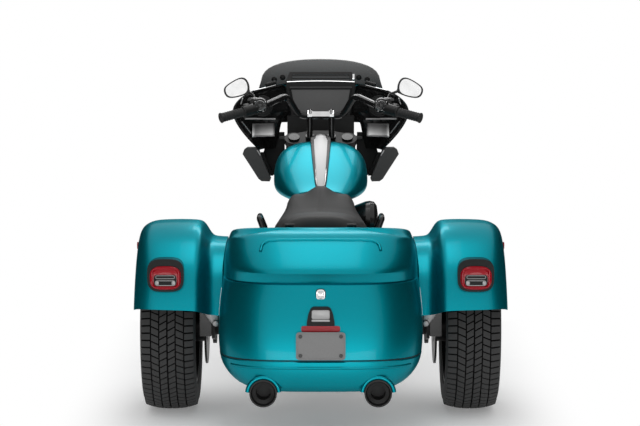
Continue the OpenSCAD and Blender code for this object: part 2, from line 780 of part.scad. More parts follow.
module swingarm() {
    color(gloss_black)
    difference() {
        union() {
            tube([[0, -229, 330], [75, -229, 330], [75, -350, 330], [250, -540, rear_tyre_r], [250, rear_axle_y, rear_tyre_r]], 24, 30, 12, 3);
            mirror([1, 0, 0]) tube([[0, -229, 330], [75, -229, 330], [75, -350, 330], [250, -540, rear_tyre_r], [250, rear_axle_y, rear_tyre_r]], 24, 30, 12, 3);
            both() translate([220, rear_axle_y, rear_tyre_r]) round_x() cylinder(h = 60, r = 56);
        }
        translate([-300, rear_axle_y, rear_tyre_r]) round_x() cylinder(h = 600, r = axle_tube_r + seat_gap);
    }
}

module shocks() {
    axle = [320, rear_axle_y, rear_tyre_r];
    high = [320, -560, 570];
    dir = unit(high - axle);
    low = axle + (axle_tube_r + seat_gap) * dir;
    color(satin_black)
    both()
    union() {
        rod(low, high, 12);
        for (i = [0:8]) rod(low + (50 + 15 * i) * dir, low + (57 + 15 * i) * dir, 30);
        rod(low + 20 * dir, low + 48 * dir, 33);
    }
}

// Fairing. Columns: height, half width, rearmost y, nose y, then the inner edge's x, y and height.
fairing_rows = [
    [908, 276, 748, 985, 205, 800, 914],
    [960, 324, 706, 1018, 192, 806, 960],
    [1020, 368, 672, 1032, 183, 806, 1005],
    [1075, 392, 653, 1028, 172, 800, 1040],
    [1118, 384, 668, 1006, 140, 793, 1075],
    [1160, 340, 702, 972, 145.5, 791, 1120],
    [1190, 268, 735, 930, 154, 795, 1165],
    [1206, 172, 768, 868, 160, 798, 1196]
];
fairing_round = 2.3;

function fairing_point(z, a, out) =
    let (deep = curve(fairing_rows, z, 3) - curve(fairing_rows, z, 2))
    [(curve(fairing_rows, z, 1) + out) * signed_power(cos(a), 2 / fairing_round),
     curve(fairing_rows, z, 2) + (deep + out) * signed_power(sin(a), 2 / fairing_round), z];

fairing_heights = [908, 935, 960, 990, 1020, 1048, 1075, 1098, 1118, 1140, 1160, 1176, 1190, 1199, 1206];
// The shell's lower edge is arched over the front wheel; its upper edge is level.
arch_rise = 112;
function fairing_height(z, a) =
    let (open = min(max((sin(a) - 0.45) / 0.4, 0), 1), low = fairing_heights[0], high = fairing_heights[14])
    lerp(low + arch_rise * open * open * (3 - 2 * open), high, (z - low) / (high - low));
fairing_grid = [for (z = fairing_heights) [for (k = [0:24])
    let (a = 180 * k / 24) fairing_point(fairing_height(z, a), a, 0)]];
inner_t = 4;

// Edge of the inner panel, just inside the shell's rear rim.
function fairing_rim(i) =
    let (n = grid_normal(fairing_grid, i, 0))
    fairing_grid[i][0] - (panel_t + inner_t) * (n.x > 0 ? n : -n);

module fairing_outer() {
    color(teal)
    sheet(fairing_grid, panel_t, [0, 700, 1050]);
}

module fairing_inner() {
    steps = [0, 0.1, 0.3, 0.5, 0.7, 0.85, 1];
    color(gloss_black)
    both()
    sheet([for (i = [0:len(fairing_heights) - 1])
        let (rim = fairing_rim(i), edge = [for (c = [4, 5, 6]) curve(fairing_rows, fairing_heights[i], c)])
        [for (s = steps)
            [lerp(rim.x, edge.x, s), lerp(rim.y, edge.y, pow(s, 0.6)), lerp(rim.z, edge.z, s)]]],
        inner_t, [260, 900, 1050]);
}

dash_lean = 8;
dash_low_w = 130;
dash_high_w = 158;
dash_h = 150;

module on_dash() {
    translate([0, 783, 1060]) rotate([-dash_lean, 0, 0]) children();
}

module dash_panel() {
    color(satin_black)
    union() {
        on_dash()
            rotate([90, 0, 0])
                linear_extrude(22)
                    polygon([[-dash_low_w, 0], [dash_low_w, 0], [dash_high_w, dash_h], [-dash_high_w, dash_h]]);
        translate([-150, 752, 968]) cube([300, 10, 96]);
        both() translate([20, 752, 1045]) cube([110, 31, 19.5]);
    }
}

module display() {
    color([0.28, 0.29, 0.31])
    on_dash() translate([0, -22 - seat_gap, 0])
        rotate([90, 0, 0]) linear_extrude(9) polygon([[-117, 12], [117, 12], [139, 130], [-139, 130]]);
}

module fairing_vent() {
    color(cast_grey)
    on_dash() translate([0, 12, dash_h + seat_gap])
    rotate([90, 0, 0])
    linear_extrude(26)
    difference() {
        polygon([[-158, 0], [158, 0], [152, 16], [140, 48], [-140, 48], [-152, 16]]);
        polygon([[-132, 12], [132, 12], [126, 38], [-126, 38]]);
    }
}

screen_low_z = 1180;
screen_top_z = 1312;
screen_half_w = 266;

module windshield() {
    color(smoke)
    sheet([for (i = [0:7]) [for (k = [0:20])
        let (
            s = sin(86 * (k / 10 - 1)),
            v = i / 7,
            low = fairing_point(screen_low_z, 90 - 66 * s, 1.2),
            crest = screen_low_z + 8 + (screen_top_z - screen_low_z - 8) * pow(1 - pow(abs(s), 2.3), 0.295),
            high = [screen_half_w * s, 842 - 40 * s * s, crest]
        )
        lerp(low, high, v) + [0, 14 * sin(180 * v), 0]]], -4, [0, 700, 1200]);
}

module headlamp() {
    color([0.85, 0.87, 0.9])
    sheet([for (z = [1032, 1050, 1068, 1085]) [for (k = [0:16]) fairing_point(z, 50 + 80 * k / 16, 7)]], 6.2, [0, 700, 1060]);
}

pod_low = [224, 781];
pod_high = [276.6, 907.5];
function pod_edge(z) = lerp(pod_low.x, pod_high.x, (z - pod_low.y) / (pod_high.y - pod_low.y));

module fairing_pods() {
    color(smoke)
    both()
    translate([0, 800, 0])
        rotate([90, 0, 0])
            linear_extrude(90)
                polygon([pod_high, [289.2, 921], [330, 921], [344, 911], [350, 894], [279, 783], [265, 772],
                    [229, 771], pod_low]);
}

// Closing panels between the pods and the fork.
module lower_panels() {
    low = 792;
    high = 895;
    inner = pod_edge(low) - seat_gap;
    outer = pod_edge(high) - seat_gap;
    color(satin_black)
    both()
    translate([0, 830, 0])
        rotate([90, 0, 0])
            union() {
                linear_extrude(15) polygon([[160, low], [inner, low], [outer - 12, high], [248, 930], [236, 986], [164, 986]]);
                linear_extrude(60) polygon([[inner - 14, low], [inner, low], [outer, high], [outer - 14, high]]);
            }
}

// Steering.
fork_tube_r = 24.5;
slider_r = 30;
shroud_r = 36;
clamp_low_s = fork_s(715);
clamp_high_s = fork_s(950);
clamp_t = 26;
axle_r = 12;

module on_fork(s) {
    translate(fork_at(s)) rotate([fork_angle, 0, 0]) children();
}

module fork() {
    top_s = clamp_high_s + clamp_t + 8;
    color(gloss_black)
    union() {
        both()
        translate([fork_half_spacing, 0, 0]) {
            on_fork(-38) cylinder(h = 410, r = slider_r);
            on_fork(360) cylinder(h = top_s - 360, r = fork_tube_r);
            on_fork(clamp_low_s + clamp_t + 1) cylinder(h = clamp_high_s - clamp_low_s - clamp_t - 2, r = shroud_r);
        }
        translate([-fork_half_spacing - 32, front_axle.y, front_axle.z]) round_x() cylinder(h = 2 * fork_half_spacing + 64, r = axle_r);
    }
}

module clamp_plate() {
    linear_extrude(clamp_t)
    difference() {
        union() {
            for (s = [-1, 1]) translate([s * fork_half_spacing, 0]) circle(r = 42);
            polygon([[-fork_half_spacing, -36], [fork_half_spacing, -36], [fork_half_spacing, 36], [40, 58], [-40, 58], [-fork_half_spacing, 36]]);
        }
        for (s = [-1, 1]) translate([s * fork_half_spacing, 0]) circle(r = fork_tube_r + seat_gap);
    }
}

module triple_clamps() {
    stem_low = [0, steer_y(722), 722];
    stem_high = [0, steer_y(955), 955];
    color(satin_black)
    union() {
        on_fork(clamp_low_s) clamp_plate();
        on_fork(clamp_high_s) clamp_plate();
        rod(stem_low, stem_high, 24);
    }
}

grip_end = [430, 330, 1076];
grip_in = [332, 381, 1100.5];
grip_long = norm(grip_end - grip_in);
grip_dir = (grip_end - grip_in) / grip_long;
grip_cap = 5;
bar_bend = [149, 562, 1163];
bar_foot = [98, 600, 1072];

module on_bar(p) {
    translate(p) rotate([0, acos(grip_dir.z), atan2(grip_dir.y, grip_dir.x)]) children();
}

module handlebar() {
    half = [grip_end - (grip_cap + 1) * grip_dir, grip_in - 92 * grip_dir, bar_bend, bar_foot];
    other = [for (i = [3:-1:0]) [-half[i].x, half[i].y, half[i].z]];
    riser_s = clamp_high_s + clamp_t + seat_gap;
    riser_h = 14;
    color(satin_black)
    union() {
        tube(concat(half, other), bar_r, 50, 12, 5);
        both() {
            translate([48, 0, 0]) on_fork(riser_s) cylinder(h = riser_h, r = 19);
            rod([48, 0, 0] + fork_at(riser_s + riser_h - 6), [48, bar_foot.y, bar_foot.z], 13);
        }
    }
}

// Bright cover that holds the bar down on the risers.
module bar_clamp() {
    cover = bar_r + 9;
    color(bright_metal)
    difference() {
        union() {
            both() translate([38, bar_foot.y, bar_foot.z]) round_x() cylinder(h = 20, r = cover);
            translate([-40, bar_foot.y - cover, bar_foot.z - 2]) cube([80, cover, cover - 2]);
            both() translate([46, bar_foot.y - cover + 6, bar_foot.z + 10]) cylinder(h = 20, r = 7);
        }
        translate([-70, bar_foot.y, bar_foot.z]) round_x() cylinder(h = 140, r = bar_r + seat_gap);
        translate([-70, bar_foot.y - cover - 1, bar_foot.z - cover - 1]) cube([140, 3 * cover, cover - 4]);
    }
}

module grips() {
    color(rubber_black)
    both()
    on_bar(grip_in)
        difference() {
            union() {
                cylinder(h = grip_long, r = grip_r);
                cylinder(h = 5, r = grip_r + 6);
                translate([0, 0, grip_long - 8]) cylinder(h = 8, r = grip_r + 2);
            }
            translate([0, 0, -1]) cylinder(h = 1 + grip_long - grip_cap, r = bar_r + turn_gap);
        }
}

module hand_controls() {
    color(gloss_black)
    both() {
        on_bar(grip_in - 70 * grip_dir)
            difference() {
                union() {
                    cylinder(h = 69, r = 25);
                    translate([-24, 10, 4]) cube([34, 44, 40]);
                }
                translate([0, 0, -1]) cylinder(h = 80, r = bar_r + turn_gap);
            }
        tube([[275, 455, 1122], [330, 432, 1112], [425, 386, 1084]], 7, 60, 8, 3);
    }
}

// The right mirror stands further out than the left one.
function mirror_at(side) = [side < 0 ? 367 : 391, 470, 1200];
mirror_outline = [[54, 0], [33, 17], [-15, 46], [-41, 39], [-54, 9], [-50, -22], [-20, -35], [33, -46], [50, -26]];

module mirrors() {
    // Columns: distance ahead of the glass, share of the outline.
    rows = [[2, 0.6], [2, 1], [14, 1], [22, 0.9], [28, 0.6]];
    color(gloss_black)
    for (side = [-1, 1])
        scale([side, 1, 1]) {
            loft([for (r = rows) [for (p = mirror_outline) mirror_at(side) + [r[1] * p.x, r[0], r[1] * p.y]]]);
            tube([[285, 432, 1137], [300, 470, 1172], mirror_at(side) + [-34, 14, -8]], 6, 20, 8, 3);
        }
}

module mirror_glass() {
    color([0.85, 0.87, 0.9])
    for (side = [-1, 1])
        scale([side, 1, 1])
            translate(mirror_at(side) + [0, 2 - seat_gap, 0])
                rotate([90, 0, 0]) linear_extrude(2) polygon([for (p = mirror_outline) 0.9 * p]);
}

module front_fender() {
    // Columns: distance from the middle, radius about the axle.
    half = [[82, 312], [81, 328], [70, 342], [40, 349], [0, 351]];
    profile = concat(half, [for (i = [3:-1:0]) [-half[i].x, half[i].y]]);
    stay = fork_at(322);
    color(teal)
    union() {
        sheet([for (k = [0:18]) let (a = 26 + 144 * k / 18)
            [for (p = profile) front_axle + [p.x, p.y * cos(a), p.y * sin(a)]]], 4, front_axle);
        both() rod([77, stay.y, stay.z], [fork_half_spacing - slider_r - seat_gap, stay.y, stay.z], 9);
    }
}

module front_calipers() {
    color(satin_black)
    both()
    difference() {
        on_fork(0) translate([56, -slider_r - 60 - seat_gap, 80]) cube([62, 60, 110]);
        translate([72 - 6, front_axle.y, front_axle.z]) round_x() cylinder(h = 12, r = disc_r + 5);
    }
}

// Wheels. Drawn round Z, the outer face up.
module rim(r, w, hub_r, hub_low, hub_high, bore_r, face) {
    root = 0.24 * hub_r;
    barrel = [[r - 14, -w / 2], [r - seat_gap, -w / 2], [r - seat_gap, w / 2], [r - 14, w / 2]];
    difference() {
        union() {
            rotate_extrude() polygon(barrel);
            translate([0, 0, hub_low]) cylinder(h = hub_high - hub_low, r = hub_r);
            for (i = [0:spoke_count - 1])
                rotate([0, 0, 360 * i / spoke_count])
                    translate([0, 0, face]) linear_extrude(22) polygon([[hub_r - 6, -root], [r - 9, -9], [r - 9, 9], [hub_r - 6, root]]);
        }
        translate([0, 0, hub_low - 1]) cylinder(h = hub_high - hub_low + 2, r = bore_r);
    }
}

module tyre(r, w, rim_r, e) {
    rotate_extrude()
        polygon([for (k = [0:35]) let (a = 10 * k)
            [(r + rim_r) / 2 + (r - rim_r) / 2 * signed_power(sin(a), e), w / 2 * signed_power(cos(a), e)]]);
}

module front_rim() {
    color(gloss_black)
    translate(front_axle) round_x() rim(front_rim_r, 88, 42, -60, 60, axle_r + turn_gap, -11);
}

module front_discs() {
    color(bright_metal)
    translate(front_axle)
    both()
    translate([69, 0, 0])
    round_x()
    difference() {
        union() {
            cylinder(h = 6, r = disc_r);
            translate([0, 0, -9 + seat_gap]) cylinder(h = 12, r = 40);
        }
        translate([0, 0, -20]) cylinder(h = 40, r = axle_r + 4);
    }
}

module front_tyre() {
    color(rubber_black) translate(front_axle) round_x() tyre(front_tyre_r, front_tyre_w, front_rim_r, 0.72);
}

module rear_rim() {
    color(gloss_black)
    translate([rear_half_track, rear_axle_y, rear_tyre_r]) round_x()
    difference() {
        union() {
            rim(rear_rim_r, 190, 64, -140, 60, spindle_r + turn_gap, 40);
            translate([0, 0, -139]) cylinder(h = 8, r = disc_r);
        }
        translate([0, 0, -141]) cylinder(h = 12, r = spindle_r + turn_gap);
    }
}

module rear_tyre() {
    color(rubber_black)
    translate([rear_half_track, rear_axle_y, rear_tyre_r]) round_x() tyre(rear_tyre_r, rear_tyre_w, rear_rim_r, 0.5);
}

module rear_rim_right() {
    rear_rim();
}

module rear_rim_left() {
    mirror([1, 0, 0]) rear_rim();
}

module rear_tyre_right() {
    rear_tyre();
}

module rear_tyre_left() {
    mirror([1, 0, 0]) rear_tyre();
}

frame();
engine_case();
cylinders();
rocker_covers();
engine_covers();
air_cleaner();
exhaust_pipes();
mufflers();
fuel_tank();
tank_console();
seat();
fairing_outer();
fairing_inner();
dash_panel();
display();
windshield();
fairing_vent();
headlamp();
fairing_pods();
lower_panels();
trunk_tub();
trunk_lid();
lid_leaves();
lid_hinges();
rear_bumper();
rear_cowl();
side_panels();
rear_fenders();
lamp_housings();
red_lenses();
plate_bracket();
number_plate();
rear_axle();
swingarm();
shocks();
rear_calipers();
footboards();
foot_controls();
grab_handles();
oil_cooler();
fork();
triple_clamps();
handlebar();
bar_clamp();
grips();
hand_controls();
mirrors();
mirror_glass();
front_fender();
front_calipers();
front_rim();
front_discs();
front_tyre();
rear_rim_left();
rear_tyre_left();
rear_rim_right();
rear_tyre_right();
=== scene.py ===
# %% [markdown]
# A three-wheeled touring motorcycle, seen from behind: a painted trunk body with a hinged lid
# between two fenders, a fairing with a wide screen, and an open engine under the tank.
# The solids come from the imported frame. This lesson dresses them: smooth skins over the painted
# panels, real tread on the tyres, a padded seat, lamps, switches and trim.

import json
import math

import bmesh
import bpy
from mathutils import Matrix, Vector
from mathutils.bvhtree import BVHTree

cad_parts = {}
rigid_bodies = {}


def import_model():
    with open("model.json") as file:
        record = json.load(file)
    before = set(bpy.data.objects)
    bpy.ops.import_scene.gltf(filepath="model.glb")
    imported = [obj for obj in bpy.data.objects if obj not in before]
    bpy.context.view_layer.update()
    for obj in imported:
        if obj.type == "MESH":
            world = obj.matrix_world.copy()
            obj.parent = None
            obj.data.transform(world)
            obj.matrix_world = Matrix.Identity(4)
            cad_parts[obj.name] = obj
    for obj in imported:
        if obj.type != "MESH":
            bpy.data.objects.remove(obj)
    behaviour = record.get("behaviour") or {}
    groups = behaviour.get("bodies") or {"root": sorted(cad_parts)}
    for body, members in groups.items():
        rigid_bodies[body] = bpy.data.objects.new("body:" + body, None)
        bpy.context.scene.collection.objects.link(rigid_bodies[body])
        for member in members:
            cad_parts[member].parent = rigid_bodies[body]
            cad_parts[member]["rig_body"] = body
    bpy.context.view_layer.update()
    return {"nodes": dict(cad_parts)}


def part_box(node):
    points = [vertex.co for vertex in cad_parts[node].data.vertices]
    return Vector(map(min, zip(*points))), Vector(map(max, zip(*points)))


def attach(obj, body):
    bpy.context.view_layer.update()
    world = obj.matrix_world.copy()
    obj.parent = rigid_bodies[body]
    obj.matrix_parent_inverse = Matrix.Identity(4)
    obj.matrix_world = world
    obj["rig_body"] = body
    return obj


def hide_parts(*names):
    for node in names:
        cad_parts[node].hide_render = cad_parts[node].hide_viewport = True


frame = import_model()
nodes = frame["nodes"]

# %% [markdown]
# The photograph was taken from far behind with a long lens, a little above the seat, so the
# lines hardly converge. Lens, distance and height follow from the wheels: their distance apart
# in the picture gives the scale, and where front and rear parts overlap gives the height.

# %% Camera
IMAGE_WIDTH = 640
SENSOR = 36.0
FOCAL_PIXELS = 2248
CAMERA_AT = Vector((0, -9.335, 1.6))
LOOK_DOWN = math.radians(5.522)

lens = bpy.data.cameras.new("studio_camera")
lens.sensor_width = SENSOR
lens.lens = FOCAL_PIXELS / IMAGE_WIDTH * SENSOR
lens.shift_x = -0.7 / IMAGE_WIDTH
lens.clip_end = 100
camera = bpy.data.objects.new("studio_camera", lens)
camera.location = CAMERA_AT
camera.rotation_euler = (math.pi / 2 - LOOK_DOWN, 0, 0)
bpy.context.scene.collection.objects.link(camera)
bpy.context.scene.camera = camera
bpy.context.scene.view_settings.view_transform = "Standard"
print("lens", round(lens.lens, 1))

# %% [markdown]
# Shader arithmetic reads best as plain sums, so one small class wraps a socket and turns
# operators into Math nodes. A finish is one material: it makes nodes, links them and feeds the
# main shader. Numbers that stay the same over the surface are set on the shader's own sockets.


# %% Sockets and finishes
class Value:
    """A socket whose arithmetic adds Math nodes to its finish."""

    def __init__(self, finish, socket):
        self.finish, self.socket = finish, socket

    def math(self, operation, first, second):
        return self.finish.node("ShaderNodeMath", {"operation": operation}, {0: first, 1: second})

    def __add__(self, other):
        return self.math("ADD", self, other)

    __radd__ = __add__

    def __sub__(self, other):
        return self.math("SUBTRACT", self, other)

    def __rsub__(self, other):
        return self.math("SUBTRACT", other, self)

    def __mul__(self, other):
        return self.math("MULTIPLY", self, other)

    __rmul__ = __mul__

    def __truediv__(self, other):
        return self.math("DIVIDE", self, other)


class Finish:
    """One material with a main shader that nodes feed."""

    def __init__(self, name, **constants):
        self.material = bpy.data.materials.new(name)
        self.material.use_nodes = True
        self.tree = self.material.node_tree
        self.shader = self.tree.nodes["Principled BSDF"]
        self.place = self.node("ShaderNodeTexCoord", out="Object")
        self.feed(**constants)

    def link(self, value, socket):
        if isinstance(value, Value):
            self.tree.links.new(value.socket, socket)
        else:
            socket.default_value = value

    def node(self, kind, settings=None, inputs=None, out=0):
        made = self.tree.nodes.new(kind)
        for key, value in (settings or {}).items():
            setattr(made, key, value)
        for key, value in (inputs or {}).items():
            self.link(value, made.inputs[key])
        return Value(self, made.outputs[out])

    def feed(self, **sockets):
        for name, value in sockets.items():
            self.link(value, self.shader.inputs[name.replace("_", " ").title().replace("Ior", "IOR")])

    def noise(self, scale, detail=2.0, vector=None):
        inputs = {"Vector": vector or self.place, "Scale": scale, "Detail": detail}
        return self.node("ShaderNodeTexNoise", {}, inputs, "Fac")

    def blend(self, factor, first, second):
        inputs = {0: factor, 6: first, 7: second}
        return self.node("ShaderNodeMix", {"data_type": "RGBA"}, inputs, 2)

    def bump(self, height, distance, strength=1.0):
        inputs = {"Height": height, "Distance": distance, "Strength": strength}
        self.feed(normal=self.node("ShaderNodeBump", {}, inputs))

    def axis(self, name):
        return self.node("ShaderNodeSeparateXYZ", {}, {0: self.place}, name)


def grey(level):
    return (level, level, level, 1)


# %% [markdown]
# The paint is a teal metallic: bright flakes in a coloured base under a clear coat. Fine noise
# moves the base between two teals, and a very small bump breaks the flat reflection a little,
# as sprayed lacquer does.

# %% Paint
TEAL_DEEP = (0.0, 0.160, 0.205, 1)
TEAL_BRIGHT = (0.0, 0.330, 0.395, 1)
EDGE_TEAL = (0.25, 0.7, 0.75, 1)


def teal_paint():
    finish = Finish(
        "teal_paint", metallic=0.88, coat_weight=0.12, coat_roughness=0.06, specular_tint=EDGE_TEAL
    )
    flakes = finish.noise(900, 3)
    broad = finish.noise(3, 1)
    finish.feed(base_color=finish.blend(0.75 * flakes + 0.25 * broad, TEAL_DEEP, TEAL_BRIGHT))
    finish.feed(roughness=0.32 + 0.1 * flakes)
    finish.bump(finish.noise(260, 2), 0.00006, 0.35)
    return finish.material


# %% [markdown]
# Black shows up here in many finishes: gloss lacquer on the fairing's inner side, satin powder
# coat on frame and engine, grained plastic on covers. One recipe takes a level, a roughness and
# a grain, so that every black has its own sparkle and none is a flat colour. Metals are brushed
# by a stretched noise. The screen grows more opaque toward its foot, and the storage doors carry
# a painted reflection that runs from near black at the top to pale grey at the foot.

# %% Blacks, metals and rubber
SCREEN_FOOT, SCREEN_HIGH = 1.18, 0.13
SHADE_TOP, SHADE_HIGH = 1.030, 0.060
CLEAR_IOR = 1.49


def grained(name, level, roughness, grain=500, depth=0.0002, spread=0.35, **constants):
    finish = Finish(name, **constants)
    fine = finish.noise(grain, 3)
    cloudy = finish.noise(9, 3)
    tone = 0.6 * fine + 0.4 * cloudy
    finish.feed(base_color=finish.blend(tone, grey(level * (1 - spread)), grey(level * (1 + spread))))
    finish.feed(roughness=roughness - 0.06 + 0.12 * cloudy)
    finish.bump(fine, depth, 0.6)
    return finish.material


def metal(name, level, roughness, stretch=(1, 1, 60), depth=0.00004):
    finish = Finish(name, metallic=1.0)
    turned = finish.node("ShaderNodeMapping", {}, {"Vector": finish.place, "Scale": stretch})
    brushed = finish.noise(40, 4, turned)
    finish.feed(base_color=finish.blend(brushed, grey(level * 0.86), grey(level)))
    finish.feed(roughness=roughness - 0.04 + 0.1 * brushed)
    finish.bump(brushed, depth, 0.5)
    return finish.material


def clear_plastic(name, colour, roughness, gloss=0.5):
    finish = Finish(name, roughness=roughness, specular_ior_level=gloss, ior=CLEAR_IOR)
    speck = finish.noise(700, 2)
    dim = tuple(0.8 * c for c in colour[:3]) + (1,)
    finish.feed(base_color=finish.blend(speck, dim, colour))
    finish.bump(speck, 0.00002, 0.2)
    return finish.material


def smoked_screen():
    """Dark clear plastic, more opaque toward its foot."""
    finish = Finish("smoked_screen", roughness=0.08, ior=CLEAR_IOR)
    speck = finish.noise(700, 2)
    finish.feed(base_color=finish.blend(speck, grey(0.016), grey(0.021)))
    height = (finish.axis("Z") - SCREEN_FOOT) / SCREEN_HIGH
    finish.feed(alpha=0.84 - 0.2 * height)
    return finish.material


def door_painted_reflection():
    """Painted reflection: a dark metallic colour that lightens toward the foot of each storage door."""
    finish = Finish("door_painted_reflection", metallic=0.9)
    # Painted reflection: near black at the top of the door, pale grey at its foot.
    rise = (SHADE_TOP - finish.axis("Z")) / SHADE_HIGH
    tone = rise * rise + 0.1 * finish.noise(300, 3)
    finish.feed(base_color=finish.blend(tone, grey(0.02), grey(0.95)))
    finish.feed(roughness=0.26 + 0.08 * finish.noise(60, 2))
    return finish.material


DOOR_PAINTED_REFLECTION = door_painted_reflection()
BRUSHED_PANEL = metal("brushed_panel", 0.28, 0.4, (60, 1, 60))
# Pale trim serves both the real shelf trim and the painted highlights along the cockpit's edges.
PALE_TRIM_AND_HIGHLIGHT = grained("pale_trim_and_highlight", 0.5, 0.35, 300, 0.0001, 0.1, metallic=0.5)
PAINT = teal_paint()
GLOSS_BLACK = grained("gloss_black", 0.006, 0.20, 700, 0.00003, specular_ior_level=0.35, coat_weight=0.1)
LAMP_BLACK = grained("lamp_black", 0.004, 0.24, 700, 0.00003, specular_ior_level=0.1)
RIM_BLACK = grained("rim_black", 0.007, 0.3, 600, 0.00005, specular_ior_level=0.15)
SATIN_BLACK = grained("satin_black", 0.010, 0.42, 900, 0.0001, specular_ior_level=0.3)
GRAIN_BLACK = grained("grained_plastic", 0.008, 0.55, 1300, 0.0003, specular_ior_level=0.25)
ENGINE_BLACK = grained("wrinkle_black", 0.014, 0.5, 420, 0.0005)
DARK_GREY = grained("charcoal_plastic", 0.045, 0.5, 1200, 0.0002)
TYRE_RUBBER = grained("tyre_rubber", 0.032, 0.78, 380, 0.0006)
# Near-black rubber for the carcass between the tread blocks: painted shade in the grooves.
GROOVE_PAINTED_SHADE = grained("groove_painted_shade", 0.004, 0.9, 380, 0.0004, specular_ior_level=0.1)
GRIP_RUBBER = grained("grip_rubber", 0.016, 0.7, 900, 0.0004)
SEAT_VINYL = grained("seat_vinyl", 0.034, 0.6, 520, 0.0007, 0.3, specular_ior_level=0.2)
CHROME = metal("chrome", 0.78, 0.10, (1, 1, 1))
SATIN_SILVER = metal("satin_silver", 0.58, 0.32, (60, 1, 60))
CAST_GREY = metal("cast_aluminium", 0.34, 0.45, (1, 1, 1), 0.0003)
DISC_STEEL = metal("disc_steel", 0.55, 0.28, (1, 60, 60))
PLATE_GREY = grained("plate_sheet", 0.19, 0.55, 240, 0.0002, 0.15)
RED_LENS = clear_plastic("red_lens", (0.36, 0.005, 0.014, 1), 0.12, 0.2)
SMOKE_SCREEN = smoked_screen()
CLEAR_LENS = clear_plastic("clear_lens", (0.75, 0.78, 0.8, 1), 0.1)
MIRROR_FACE = metal("mirror_face", 0.96, 0.16, (1, 1, 1), 0.00001)
DISPLAY_GLASS = grained("display_glass", 0.064, 0.3, 60, 0.00001, 0.12)
print("finishes", len(bpy.data.materials))

# %% [markdown]
# The frame's meshes are loose triangles, good for measuring but flat to the eye. A skin is a
# copy whose corners are merged and whose triangles are joined to quads; edges sharper than a
# limit are creased, and a subdivision rounds what lies between them. The skin then replaces the
# solid in the picture, while the solid stays for collision.

# %% Pieces and skins
SHARP = math.radians(34)
GLASS_SHARE, HEAD_SHARE, MIRROR_REACH = 1.03, 1.08, 0.085
MERGE = 2e-5
REARWARD = -0.25
PAINTED = [
    "trunk_tub", "trunk_lid", "rear_fenders", "fuel_tank", "fairing_outer", "front_fender",
    "side_panels", "rear_cowl",
]
body_of_node = {name: node["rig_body"] for name, node in nodes.items()}


def side_name(side):
    return "left" if side < 0 else "right"


def piece(bm, name, finish, body, sharp=SHARP):
    """Writes a bmesh as a piece at the origin, shaded smooth between its sharp edges."""
    bm.edges.ensure_lookup_table()
    for face in bm.faces:
        face.smooth = True
    for edge in bm.edges:
        edge.smooth = len(edge.link_faces) == 2 and edge.calc_face_angle() < sharp
    mesh = bpy.data.meshes.new(name)
    bm.to_mesh(mesh)
    bm.free()
    mesh.materials.append(finish)
    made = bpy.data.objects.new(name, mesh)
    bpy.context.scene.collection.objects.link(made)
    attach(made, body)
    return made


def merged(node):
    """A copy of a solid's mesh with its corners merged and its triangles joined to quads."""
    bm = bmesh.new()
    bm.from_mesh(nodes[node].data)
    bmesh.ops.remove_doubles(bm, verts=bm.verts, dist=MERGE)
    bmesh.ops.join_triangles(
        bm, faces=bm.faces, angle_face_threshold=math.radians(28), angle_shape_threshold=math.radians(60)
    )
    return bm


def skin(node, finish, levels=1, sharp=SHARP):
    """A smooth skin over a solid, which it replaces in the picture."""
    bm = merged(node)
    crease = bm.edges.layers.float.new("crease_edge")
    for edge in bm.edges:
        if len(edge.link_faces) != 2 or edge.calc_face_angle() > sharp:
            edge[crease] = 1.0
    made = piece(bm, node + "_skin", finish, body_of_node[node], sharp)
    if levels:
        rounded = made.modifiers.new("rounded", "SUBSURF")
        rounded.levels = rounded.render_levels = levels
    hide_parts(node)
    return made


def widen_mirror(side):
    """Spreads one mirror's glass and head a little about the middle of the glass."""
    mine = [v for v in glass.data.vertices if v.co.x * side > 0]
    middle = sum((v.co for v in mine), Vector()) / len(mine)
    head = [v for v in mirrors.data.vertices if v.co.x * side > 0]
    head = [v for v in head if (v.co - middle).length < MIRROR_REACH]
    for verts, share in ((mine, GLASS_SHARE), (head, HEAD_SHARE)):
        for vert in verts:
            vert.co.x = middle.x + (vert.co.x - middle.x) * share
            vert.co.z = middle.z + (vert.co.z - middle.z) * share
    print("mirror", side_name(side), "head", len(head), "glass", len(mine))


def black_edge(made):
    """Blackens the faces of a painted shell that look to the rear: its turned-in edge."""
    made.data.materials.append(GRAIN_BLACK)
    for face in made.data.polygons:
        if face.normal.y < REARWARD:
            face.material_index = 1


for name in PAINTED:
    skin(name, PAINT)
skin("rear_bumper", PAINT, 0)
mirrors = skin("mirrors", GLOSS_BLACK, 2, math.radians(70))
glass = skin("mirror_glass", MIRROR_FACE, 2, math.radians(70))
for side in (-1, 1):
    widen_mirror(side)
black_edge(bpy.data.objects["fairing_outer_skin"])
print("painted skins", len(PAINTED) + 1)

# %% [markdown]
# The other solids keep their own meshes and only get a finish: lacquer and powder coat on frame
# and fork, wrinkle coat on the engine, chrome on a few covers, rubber, lenses and glass.

